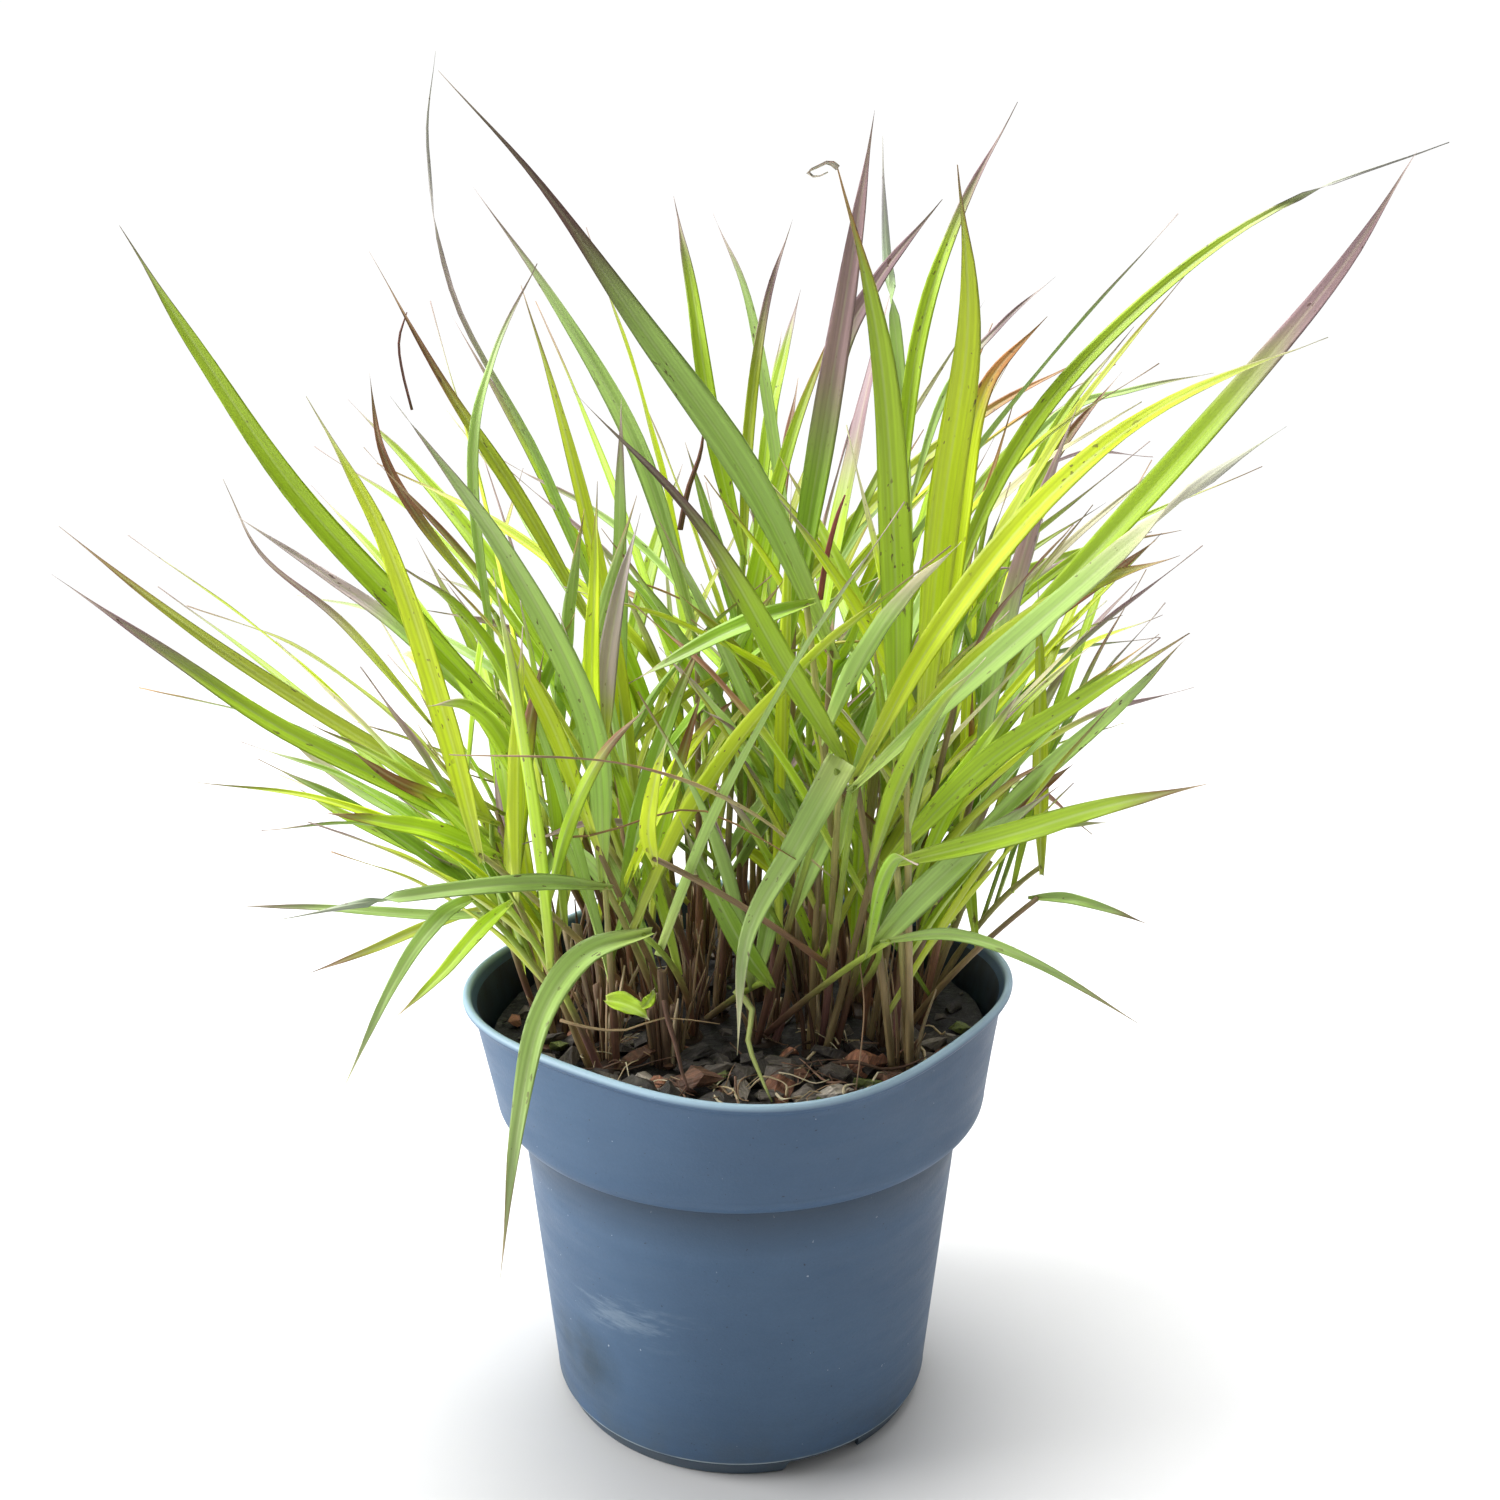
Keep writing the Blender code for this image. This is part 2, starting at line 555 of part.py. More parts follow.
def leafSolid(points, facing, width, grow=0.0, start=0.0, stations=leaf["stations"]):
    # A flat blade with a keel under its middle, a three-sided section that ends in a point.
    rings = []
    for i in range(stations - 1):
        share = start + (1 - start) * i / (stations - 1)
        middle, side, normal = leafFrame(points, facing, share)
        half = width / 2 * max(leafWidth(share), 0.16) + grow
        keel = leaf["keel"] * (1 - 0.35 * share) + grow
        upper = middle + normal * grow
        rings.append([upper - side * half, middle - normal * keel, upper + side * half])
    rings.append([smooth(points, 1.0)])
    return closeRings(bmesh.new(), rings)


def stemPoint(path, share):
    foot, bend, top = path
    return foot * (1 - share) ** 2 + bend * (2 * share * (1 - share)) + top * share * share


def stemAxis(path, share):
    # A point on the stem's solid, which is straight from one ring to the next.
    spans = stem["rings"] - 1
    index = min(int(share * spans), spans - 1)
    lower, upper = stemPoint(path, index / spans), stemPoint(path, (index + 1) / spans)
    return lower.lerp(upper, share * spans - index)


def stemSolid(path, grow=0.0, start=0.0):
    rings = []
    for i in range(stem["rings"]):
        share = start + (1 - start) * i / (stem["rings"] - 1)
        middle = stemPoint(path, share)
        radius = stem["footRadius"] + (stem["topRadius"] - stem["footRadius"]) * share + grow
        rings.append([middle + p for p in circle(radius, stem["sides"], 0, math.pi / 6)])
    return closeRings(bmesh.new(), rings)


class Thicket:
    # What already grows, so that a new piece can be bent clear of it.

    def __init__(self):
        self.trees, self.lows, self.highs = [], [], []

    def hits(self, bm, skip=()):
        points = np.array([v.co for v in bm.verts])
        low, high = points.min(0), points.max(0)
        if not self.trees:
            return False
        lows, highs = np.array(self.lows), np.array(self.highs)
        near = np.nonzero((lows < high).all(1) & (highs > low).all(1))[0]
        tree = BVHTree.FromBMesh(bm)
        return any(self.trees[i].overlap(tree) for i in near if i not in skip)

    def add(self, bm):
        points = np.array([v.co for v in bm.verts])
        self.trees.append(BVHTree.FromBMesh(bm))
        self.lows.append(points.min(0))
        self.highs.append(points.max(0))
        bm.free()
        return len(self.trees) - 1


def stemFeet(places):
    # Where stems can stand: a few on each leafy crown, the outer ones leaning out.
    feet = []
    for number, (spot, isStub) in enumerate(places):
        if isStub:
            continue
        for i in range(stem["perCrown"]):
            turn = 2 * math.pi * (i + 0.5 * (number % 2)) / stem["perCrown"]
            offset = Vector((math.cos(turn), math.sin(turn), 0)) * stem["spread"]
            height = Vector((0, 0, soil["top"] + mulch["thickness"] - 5 * mm))
            feet.append((number, spot + offset + height))
    return feet


def growStem(thicket, foot, top, sway, skip=()):
    # A stem from its foot to its top, swayed sideways until it is clear.
    for push in sway:
        bend = foot * 0.45 + top * 0.55 + push
        bend.z = foot.z + (top.z - foot.z) * 0.62
        path = (foot, bend, top)
        test = stemSolid(path, leaf["clearance"])
        blocked = thicket.hits(test, skip)
        test.free()
        if not blocked:
            return path
    return None


def nearRim(points, width):
    # True if a leaf's line comes nearer to the pot's wall than its own half width.
    for i in range(25):
        point = smooth(points, i / 24)
        if point.z < pot["height"] + 6 * mm:
            reach = math.hypot(point.x, point.y)
            edge = pot["rimRadius"] * rimSquare(pot["height"], math.atan2(point.y, point.x))
            if edge - 8 * mm < reach < edge + width * 0.75 + 1.5 * mm:
                return True
        if point.z < soil["top"] + 18 * mm and i > 3:
            if math.hypot(point.x, point.y) < pot["rimRadius"]:
                return True
    return False


def growLeaf(thicket, choices, width, stations, skip=()):
    # The first choice of line and facing that is clear of what grows already.
    for points, facing in choices:
        if nearRim(points, width):
            continue
        test = leafSolid(points, facing, width, leaf["clearance"], 0.0, stations)
        blocked = thicket.hits(test, skip)
        test.free()
        if not blocked:
            return points, facing
    return None


def seenChoices(pixels, rootDepth, tipDepth):
    # The same leaf, as the photograph shows it, at other depths along the line of sight.
    facing = Vector((0, -0.85, 0.53)).normalized()
    shifts = [(0, 0)] + [(r, t) for t in (8, -8, 16, -16, 26, -26, 38, -38, 52) for r in (0, t * 0.5)]
    for rootShift, tipShift in shifts:
        points = []
        for i, pixel in enumerate(pixels):
            share = i / (len(pixels) - 1)
            depth = rootDepth + rootShift + (tipDepth + tipShift - rootDepth - rootShift) * share
            points.append(seenAt(pixel, depth))
        yield points, facing


def freeChoices(dice, root, home):
    # Lines for a leaf that no pixel places, leaning out more the further out it grows.
    out = Vector((home.x, home.y, 0))
    reach = min(1.0, out.length / crown["ringRadius"])
    base = math.atan2(out.y, out.x)
    length = dice.uniform(*freeLeaf["lengths"])
    bend = dice.uniform(*freeLeaf["bend"])
    for attempt in range(freeLeaf["tries"]):
        turn = base + dice.gauss(0, 0.5 + 1.2 * (1 - reach))
        lean = freeLeaf["leanInside"] + (freeLeaf["leanOutside"] - freeLeaf["leanInside"]) * reach**1.4
        lean = abs(lean + dice.gauss(0, 1) * freeLeaf["leanSpread"])
        flat = Vector((math.cos(turn), math.sin(turn), 0))
        points = []
        for i in range(4):
            share = i / 3
            angle = lean + bend * share * (0.6 + lean)
            away = flat * math.sin(angle) + Vector((0, 0, math.cos(angle)))
            points.append(root + away * (length * share))
        if abs(points[-1].y) > freeLeaf["reach"]:
            continue
        if not all(insideOutline(smooth(points, share)) for share in (0.6, 0.8, 1.0)):
            continue
        tipX, tipY = pixelOf(points[-1])
        fromMiddle = math.hypot(tipX - eye["middle"], tipY - freeLeaf["middleRow"])
        if points[-1].y < freeLeaf["frontDepth"] and fromMiddle > freeLeaf["frontSpread"]:
            continue
        side = flat.cross(Vector((0, 0, 1))) * dice.uniform(-1.3, 1.3)
        yield points, (Vector((0, 0, 0.7)) - flat * 0.7 + side).normalized()


def innerChoices(dice, root):
    # Lines for a short leaf of the middle, which may lean to any side.
    length = dice.uniform(*innerLeaf["lengths"])
    bend = dice.uniform(*innerLeaf["bend"])
    for attempt in range(innerLeaf["tries"]):
        turn, lean = dice.uniform(0, 2 * math.pi), dice.uniform(*innerLeaf["lean"])
        flat = Vector((math.cos(turn), math.sin(turn), 0))
        points = [root]
        for i in range(1, 4):
            angle = lean + bend * i / 3
            away = flat * math.sin(angle) + Vector((0, 0, math.cos(angle)))
            points.append(points[-1] + away * length / 3)
        if not all(insideOutline(point) for point in points):
            continue
        side = flat.cross(Vector((0, 0, 1))) * dice.uniform(-0.9, 0.9)
        yield points, (Vector((0, 0, 0.7)) - flat * 0.7 + side).normalized()


def plantPieces(places, fixed):
    # Every stem and leaf of the plant, with the crown that each belongs to.
    feet = stemFeet(places)
    thicket = Thicket()
    for obj in fixed:
        bm = bmesh.new()
        bm.from_mesh(obj.data)
        thicket.add(bm)
    dice = random.Random(leaf["seed"])
    stems, leaves = [], []
    crowns = {}
    for number, (spot, isStub) in enumerate(places):
        radius = crown["stubRadius"] if isStub else crown["radius"]
        crowns[number] = thicket.add(crownSolid(spot, radius))
        if isStub:
            for solid in stubSolids(number, spot):
                thicket.add(solid)
    pushes = [Vector((0, 0, 0))]
    pushes += [Vector((math.cos(a), math.sin(a), 0)) * r * mm for r in (5, 11, 18) for a in range(0, 6)]
    unused = list(feet)
    for name, pixels, rootDepth, tipDepth, width in seenLeaves:
        for points, facing in seenChoices(pixels, rootDepth, tipDepth):
            root = points[0]
            stemTop = root + (smooth(points, 0.05) - root).normalized() * leaf["overlap"]
            ranked = sorted(unused, key=lambda f: (f[1].xy - root.xy * 0.72).length)[:7]
            path = None
            for number, foot in ranked:
                path = growStem(thicket, foot, stemTop, pushes, (crowns[number],))
                if path:
                    break
            if not path:
                continue
            picked = growLeaf(thicket, [(points, facing)], width * mm, leaf["stations"])
            if picked:
                unused.remove((number, foot))
                stems.append((number, path, name, thicket.add(stemSolid(path))))
                leaves.append((number, points, facing, width * mm, name))
                thicket.add(leafSolid(points, facing, width * mm))
                break
        else:
            print("no clear place for", name)
    for number, foot in unused:
        spot = places[number][0]
        out = Vector((spot.x, spot.y, 0)) * dice.uniform(0.16, 0.4)
        drift = Vector((dice.gauss(0, 5), dice.gauss(0, 5), dice.uniform(55, 150)))
        top = foot + out + drift * mm
        path = growStem(thicket, foot, top, pushes, (crowns[number],))
        if path:
            stems.append((number, path, "free", thicket.add(stemSolid(path))))
    for number, path, name, own in stems:
        wanted = leaf["perStem"] if name == "free" else 1
        for turn in range(wanted):
            share = 0.95 if name == "free" and turn == 0 else dice.uniform(0.45, 0.85)
            root = stemAxis(path, share)
            width = dice.uniform(*freeLeaf["widths"])
            choices = freeChoices(dice, root, root)
            picked = growLeaf(thicket, choices, width, leaf["freeStations"], (own,))
            if picked:
                leaves.append((number, *picked, width, "free"))
                thicket.add(leafSolid(*picked, width, stations=leaf["freeStations"]))
    added = 0
    for number, path, name, own in dice.sample(stems, len(stems)):
        if added == innerLeaf["count"]:
            break
        root = stemAxis(path, dice.uniform(0.3, 0.75))
        width = dice.uniform(*innerLeaf["widths"])
        picked = growLeaf(thicket, innerChoices(dice, root), width, leaf["freeStations"], (own,))
        if picked:
            added += 1
            leaves.append((number, *picked, width, "inner"))
            thicket.add(leafSolid(*picked, width, stations=leaf["freeStations"]))
    return stems, leaves


def stubSolids(number, spot):
    # Last year's stems, cut off short.
    dice = random.Random(stub["seed"] + number)
    solids = []
    for i in range(stub["count"]):
        turn = 2 * math.pi * i / stub["count"] + dice.uniform(-0.3, 0.3)
        offset = Vector((math.cos(turn), math.sin(turn), 0)) * (crown["stubRadius"] - 3.4 * mm)
        foot = spot + offset + Vector((0, 0, soil["top"] + mulch["thickness"] - 5 * mm))
        height = dice.uniform(stub["lowest"], stub["highest"])
        lean = (offset * 0.9 + spot * 0.10) * (height / stub["highest"])
        top = foot + lean + Vector((0, 0, height + 5 * mm))
        section = circle(stub["radius"], stub["sides"], 0, turn)
        rings = [
            [foot + p for p in section],
            [top + p * 0.9 + Vector((0, 0, p.x * 0.8)) for p in section],
        ]
        solids.append(closeRings(bmesh.new(), rings))
    return solids


def makePlant(places, fixed):
    stems, leaves = plantPieces(places, fixed)
    leafy = old = 0
    for number, (spot, isStub) in enumerate(places):
        if isStub:
            old += 1
            solids = [crownSolid(spot, crown["stubRadius"])] + stubSolids(number, spot)
            fuse(f"old_stems_{old:02d}", solids, (0.27, 0.19, 0.12), 0.85)
            continue
        solids = [crownSolid(spot, crown["radius"])]
        solids += [stemSolid(path) for home, path, _, _ in stems if home == number]
        for home, points, facing, width, name in leaves:
            if home == number:
                stations = leaf["freeStations"] if name in ("free", "inner") else leaf["stations"]
                solids.append(leafSolid(points, facing, width, stations=stations))
        leafy += 1
        fuse(f"tuft_{leafy:02d}", solids, (0.30, 0.42, 0.06), 0.5)
    print(leafy, "tufts,", old, "old crowns,", len(stems), "stems,", len(leaves), "leaves")


for existing in list(bpy.data.objects):
    bpy.data.objects.remove(existing)
crowns = [(spot, i % crown["stubEvery"] == 2) for i, spot in enumerate(crownPlaces())]
container = makePot()
makeSoil(crowns)
bark = makeMulch(crowns)
makePlant(crowns, [container, bark])
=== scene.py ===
# Switchgrass in a slate blue nursery pot: fine leaves, stems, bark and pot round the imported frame.
# Metres, +Z up, the pot's front faces -Y. The plant grows by the same rules as its solids.

import math
import random

import bmesh
import bpy
import numpy as np
from mathutils import Matrix, Vector, noise
from mathutils.bvhtree import BVHTree


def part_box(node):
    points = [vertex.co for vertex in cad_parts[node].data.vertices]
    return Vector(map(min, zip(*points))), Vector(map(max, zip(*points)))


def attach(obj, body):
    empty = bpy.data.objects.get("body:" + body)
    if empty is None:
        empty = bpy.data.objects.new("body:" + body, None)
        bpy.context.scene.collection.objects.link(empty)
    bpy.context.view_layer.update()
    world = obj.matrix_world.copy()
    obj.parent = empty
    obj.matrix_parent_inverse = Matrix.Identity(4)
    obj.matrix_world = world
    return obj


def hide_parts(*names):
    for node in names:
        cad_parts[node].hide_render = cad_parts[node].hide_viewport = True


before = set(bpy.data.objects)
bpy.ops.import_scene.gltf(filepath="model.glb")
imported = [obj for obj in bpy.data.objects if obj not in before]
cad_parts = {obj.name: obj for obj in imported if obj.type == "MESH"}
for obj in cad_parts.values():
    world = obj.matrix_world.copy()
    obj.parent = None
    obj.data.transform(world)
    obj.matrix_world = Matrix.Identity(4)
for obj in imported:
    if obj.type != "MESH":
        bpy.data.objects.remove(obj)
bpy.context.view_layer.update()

mm = 0.001
gap = 0.4 * mm  # between pieces that touch

# The pot, a five litre nursery container.
pot = {
    "height": 186 * mm,
    "rimRadius": 112.5 * mm,
    "lip": 3.0 * mm,  # how far the rolled lip stands out of the band
    "lipDepth": 4.5 * mm,
    "bandHeight": 45.6 * mm,
    "bandFootRadius": 103 * mm,
    "shoulder": 12.5 * mm,  # height of the step from the band in to the body
    "bodyTopRadius": 92.5 * mm,
    "bodyFootRadius": 81 * mm,
    "footHeight": 8.4 * mm,
    "footRadius": 77 * mm,
    "wall": 1.8 * mm,
    "floor": 2.4 * mm,
    "squareness": 0.046,  # the soft rim is squeezed a little square
    "squareTurn": math.radians(9),
    "notches": 3,
    "notchTurn": math.radians(26),  # middle of the first notch, from the front to +X
    "notchWidth": 32 * mm,
    "drainHoles": 6,
    "drainRadius": 6 * mm,
    "drainRing": 48 * mm,
}


def circle(radius, count, height, turn=0.0):
    # Points round +Z, anticlockwise seen from above.
    steps = [turn + 2 * math.pi * i / count for i in range(count)]
    return [Vector((radius * math.cos(a), radius * math.sin(a), height)) for a in steps]


def heading(turn):
    # A level direction, turned anticlockwise from +X.
    return Vector((math.cos(turn), math.sin(turn), 0))


def raised(height):
    return Vector((0, 0, height))


def rimSquare(height, angle):
    # How far the squeezed rim departs from a circle, fading to nothing at the band's foot.
    bandFoot = pot["height"] - pot["bandHeight"]
    share = max(0.0, (height - bandFoot) / pot["bandHeight"])
    fromFront = angle + math.pi / 2 - pot["squareTurn"]
    return 1 + pot["squareness"] * share * (math.cos(4 * fromFront) - 0.46)


def squareAt(point):
    return rimSquare(point.z, math.atan2(point.y, point.x))


def wallRadius(height, inset):
    # Radius of the pot's outside at a height, less an inset, along its band and body.
    bandFoot = pot["height"] - pot["bandHeight"]
    bodyTop = bandFoot - pot["shoulder"]
    bandTop = pot["rimRadius"] - pot["lip"]
    if height >= bandFoot:
        share = (height - bandFoot) / pot["bandHeight"]
        return pot["bandFootRadius"] + (bandTop - pot["bandFootRadius"]) * share - inset
    if height >= bodyTop:
        share = (height - bodyTop) / pot["shoulder"]
        widening = math.sin(share * math.pi / 2) ** 1.3
        return pot["bodyTopRadius"] + (pot["bandFootRadius"] - pot["bodyTopRadius"]) * widening - inset
    share = (height - pot["footHeight"]) / (bodyTop - pot["footHeight"])
    return pot["bodyFootRadius"] + (pot["bodyTopRadius"] - pot["bodyFootRadius"]) * share - inset


def wallReach(turn, height, inset):
    # How far out the pot's squeezed wall stands in one direction, less an inset.
    return wallRadius(height, inset) * rimSquare(height, turn)


def closeRings(bm, rings):
    # A closed skin through rings of points, with a flat cap at each end.
    made = [[bm.verts.new(point) for point in ring] for ring in rings]
    for lower, upper in zip(made, made[1:]):
        if len(upper) == 1:
            for i, corner in enumerate(lower):
                bm.faces.new((corner, lower[(i + 1) % len(lower)], upper[0]))
            continue
        for i, corner in enumerate(lower):
            after = (i + 1) % len(lower)
            bm.faces.new((corner, lower[after], upper[after], upper[i]))
    bm.faces.new(list(reversed(made[0])))
    if len(made[-1]) > 1:
        bm.faces.new(made[-1])
    return bm


soil = {
    "top": 162 * mm,
    "holeDepth": 24 * mm,
    "holeRadius": 9.4 * mm,
}

mulch = {
    "thickness": 4 * mm,
    "chips": 42,
    "smallest": 6 * mm,
    "largest": 12.5 * mm,
    "corners": 8,
    "seed": 11,
}


def barkChip(dice, middle, size, lowest):
    # An angular chip: the hull of a few points on a flattened ball, none under the lowest.
    bm = bmesh.new()
    turn = dice.uniform(0, math.pi)
    tilt = dice.uniform(-0.35, 0.35)
    for i in range(mulch["corners"]):
        high = 1 - 2 * (i + 0.5) / mulch["corners"]
        around = i * math.radians(137.5) + dice.uniform(-0.5, 0.5)
        flat = math.sqrt(1 - high * high)
        x = size * flat * math.cos(around) * dice.uniform(0.85, 1.1)
        y = size * 0.62 * flat * math.sin(around) * dice.uniform(0.85, 1.1)
        z = size * 0.42 * high + x * tilt
        across = x * math.cos(turn) - y * math.sin(turn)
        along = x * math.sin(turn) + y * math.cos(turn)
        bm.verts.new(Vector((middle.x + across, middle.y + along, max(middle.z + z, lowest))))
    bmesh.ops.convex_hull(bm, input=bm.verts)
    loose = [v for v in bm.verts if not v.link_faces]
    bmesh.ops.delete(bm, geom=loose, context="VERTS")
    return bm


def chipPlaces(places):
    # Chips cover the mulch and keep clear of the crowns' holes and of the pot's wall.
    dice = random.Random(mulch["seed"])
    spots = []
    for _ in range(4000):
        if len(spots) >= mulch["chips"]:
            break
        size = mulch["smallest"] + (mulch["largest"] - mulch["smallest"]) * dice.random() ** 1.1
        turn, reach = dice.uniform(0, 2 * math.pi), math.sqrt(dice.random())
        radius = reach * (wallReach(turn, soil["top"], 4.5 * mm) - size * 1.1)
        spot = Vector((radius * math.cos(turn), radius * math.sin(turn), 0))
        if any((spot - place).length < soil["holeRadius"] + 1 * mm + size * 1.1 for place, _ in places):
            continue
        if any((spot - other).length < (size + otherSize) * 0.62 for other, otherSize in spots):
            continue
        spots.append((spot, size))
    return spots, dice


crown = {
    "radius": 8.2 * mm,
    "stubRadius": 6.8 * mm,
    "sides": 6,
    "spacing": 14.0 * mm,  # sets how close the spiral of crowns is wound
    "ringRadius": 86 * mm,
    "frontEdge": -33 * mm,  # no crown grows nearer the front than this
    "stubEvery": 4,  # each fourth crown holds last year's cut stems
}


def crownPlaces():
    # Crowns lie on a sunflower spiral, left out where only bark mulch shows at the front.
    places = []
    for i in range(1, 90):
        radius = crown["spacing"] * math.sqrt(i)
        if radius > crown["ringRadius"]:
            break
        turn = i * math.radians(137.5) + 0.4
        spot = Vector((radius * math.cos(turn), radius * math.sin(turn), 0))
        if spot.y < crown["frontEdge"] - 0.25 * abs(spot.x):
            continue
        places.append(spot)
    return places


def crownSolid(spot, radius):
    low, high = soil["top"] - soil["holeDepth"] + gap, soil["top"] + mulch["thickness"]
    levels = [(1.0, low), (1.0, high - 1 * mm), (0.62, high + 2.2 * mm)]
    rings = [[spot + p for p in circle(radius * share, crown["sides"], z)] for share, z in levels]
    return closeRings(bmesh.new(), rings)


# Where the photograph was taken from, so that a leaf can be placed by the pixels that it
# covers. Distances in millimetres, and the picture is 1500 pixels square.
eye = {"x": 4.0, "y": -657.5, "z": 476.6, "pitch": 16.3, "focal": 1700.0, "middle": 750.0, "size": 1500}


def seenAt(pixel, depth):
    # The point that a pixel shows, at a depth along Y. Everything here is in millimetres.
    pitch = math.radians(eye["pitch"])
    ahead = Vector((0, math.cos(pitch), -math.sin(pitch)))
    up = Vector((0, math.sin(pitch), math.cos(pitch)))
    across = (pixel[0] - eye["middle"]) / eye["focal"]
    above = (eye["middle"] - pixel[1]) / eye["focal"]
    ray = ahead + up * above + Vector((across, 0, 0))
    start = Vector((eye["x"], eye["y"], eye["z"]))
    return (start + ray * ((depth - start.y) / ray.y)) * mm


def seenLine(pixels, near, far):
    # Points along a line of pixels whose depth runs from near to far.
    last = len(pixels) - 1
    return [seenAt(pixel, near + (far - near) * (i / last)) for i, pixel in enumerate(pixels)]


def pixelOf(point):
    # Where a point shows in the picture.
    pitch = math.radians(eye["pitch"])
    away = point / mm - Vector((eye["x"], eye["y"], eye["z"]))
    ahead = away.y * math.cos(pitch) - away.z * math.sin(pitch)
    up = away.y * math.sin(pitch) + away.z * math.cos(pitch)
    return (
        eye["middle"] + eye["focal"] * away.x / ahead,
        eye["middle"] - eye["focal"] * up / ahead,
    )


# The plant's outline in the picture, which leaves grown by chance keep inside.
outline = [
    (60, 600), (66, 500), (128, 236), (290, 160), (437, 75), (640, 160), (713, 200), (870, 120),
    (958, 170), (1018, 110), (1200, 170), (1430, 150), (1410, 215), (1320, 350), (1280, 450),
    (1210, 540), (1190, 640), (1205, 790), (1150, 930), (1140, 1025), (1030, 960), (930, 930),
    (620, 930), (500, 1000), (345, 1085), (305, 970), (225, 905), (150, 760),
]


def insideOutline(point):
    # Counts the outline's edges to the right of the point, odd inside.
    x, y = pixelOf(point)
    inside = False
    for (ax, ay), (bx, by) in zip(outline, outline[1:] + outline[:1]):
        if (ay > y) != (by > y) and x < ax + (bx - ax) * (y - ay) / (by - ay):
            inside = not inside
    return inside


def smooth(points, share):
    # A point on the smooth curve through the given points, share 0 to 1 of the way.
    spans = len(points) - 1
    index = min(int(share * spans), spans - 1)
    t = share * spans - index
    a = points[index - 1] if index > 0 else points[0] * 2 - points[1]
    b, c = points[index], points[index + 1]
    d = points[index + 2] if index + 2 <= spans else points[-1] * 2 - points[-2]
    return 0.5 * (
        b * 2 + (c - a) * t + (a * 2 - b * 5 + c * 4 - d) * t * t + (b * 3 - a - c * 3 + d) * t**3
    )


leaf = {
    "stations": 6,
    "freeStations": 5,
    "keel": 1.1 * mm,
    "seed": 23,
    "perStem": 2,
    "clearance": 0.7 * mm,
    "overlap": 4 * mm,  # how far a stem runs on into the leaf at its top
}


def leafWidth(share):
    # Width along a blade: narrow at its root, widest a third of the way, then to a point.
    rise = 0.5 + 0.5 * math.sin(min(1.0, share / 0.34) * math.pi / 2)
    fall = (1 - max(0.0, (share - 0.3) / 0.7) ** 1.6) if share > 0.3 else 1.0
    return rise * max(0.0, fall)


def leafFrame(points, facing, share):
    # The middle of the blade, its side direction and its upper normal at a share of it.
    middle = smooth(points, share)
    along = (smooth(points, min(1, share + 0.02)) - smooth(points, max(0, share - 0.02))).normalized()
    side = along.cross(facing)
    if side.length < 0.05:
        side = along.cross(Vector((1, 0, 0)))
    side.normalize()
    return middle, side, side.cross(along).normalized()


def leafSolid(points, facing, width, stations, grow=0.0):
    # A flat blade with a keel under its middle, a three-sided section that ends in a point.
    rings = []
    for i in range(stations - 1):
        share = i / (stations - 1)
        middle, side, normal = leafFrame(points, facing, share)
        half = width / 2 * max(leafWidth(share), 0.16) + grow
        keel = leaf["keel"] * (1 - 0.35 * share) + grow
        upper = middle + normal * grow
        rings.append([upper - side * half, middle - normal * keel, upper + side * half])
    rings.append([smooth(points, 1.0)])
    return closeRings(bmesh.new(), rings)


stem = {
    "footRadius": 1.7 * mm,
    "topRadius": 1.15 * mm,
    "rings": 3,
    "sides": 3,
    "perCrown": 4,
    "spread": 4.6 * mm,
}


def stemPoint(path, share):
    foot, bend, top = path
    return foot * (1 - share) ** 2 + bend * (2 * share * (1 - share)) + top * share * share


def stemAxis(path, share):
    # A point on the stem's solid, which is straight from one ring to the next.
    spans = stem["rings"] - 1
    index = min(int(share * spans), spans - 1)
    lower, upper = stemPoint(path, index / spans), stemPoint(path, (index + 1) / spans)
    return lower.lerp(upper, share * spans - index)


def stemRadius(share):
    return stem["footRadius"] + (stem["topRadius"] - stem["footRadius"]) * share


def stemSolid(path, grow=0.0):
    rings = []
    for i in range(stem["rings"]):
        share = i / (stem["rings"] - 1)
        section = circle(stemRadius(share) + grow, stem["sides"], 0, math.pi / 6)
        rings.append([stemPoint(path, share) + p for p in section])
    return closeRings(bmesh.new(), rings)


def crownTop(spot):
    # Where stems stand in a crown, a little below the mulch.
    return spot + raised(soil["top"] + mulch["thickness"] - 5 * mm)


def stemFeet(places):
    # Where stems can stand: a few on each leafy crown, the outer ones leaning out.
    feet = []
    for number, (spot, isStub) in enumerate(places):
        if isStub:
            continue
        for i in range(stem["perCrown"]):
            turn = 2 * math.pi * (i + 0.5 * (number % 2)) / stem["perCrown"]
            feet.append((number, crownTop(spot + heading(turn) * stem["spread"])))
    return feet


# Last year's stems, cut off short.
stub = {"count": 4, "sides": 4, "radius": 2.1 * mm, "lowest": 24 * mm, "highest": 52 * mm, "seed": 5}


def stubLines(number, spot):
    # Foot, top and turn of each cut stem of a crown.
    dice = random.Random(stub["seed"] + number)
    lines = []
    for i in range(stub["count"]):
        turn = 2 * math.pi * i / stub["count"] + dice.uniform(-0.3, 0.3)
        offset = heading(turn) * (crown["stubRadius"] - 3.4 * mm)
        foot = crownTop(spot + offset)
        height = dice.uniform(stub["lowest"], stub["highest"])
        lean = (offset * 0.9 + spot * 0.10) * (height / stub["highest"])
        lines.append((foot, foot + lean + raised(height + 5 * mm), turn))
    return lines


def stubSolids(number, spot):
    solids = []
    for foot, top, turn in stubLines(number, spot):
        section = circle(stub["radius"], stub["sides"], 0, turn)
        ends = [[foot + p for p in section], [top + p * 0.9 + raised(p.x * 0.8) for p in section]]
        solids.append(closeRings(bmesh.new(), ends))
    return solids


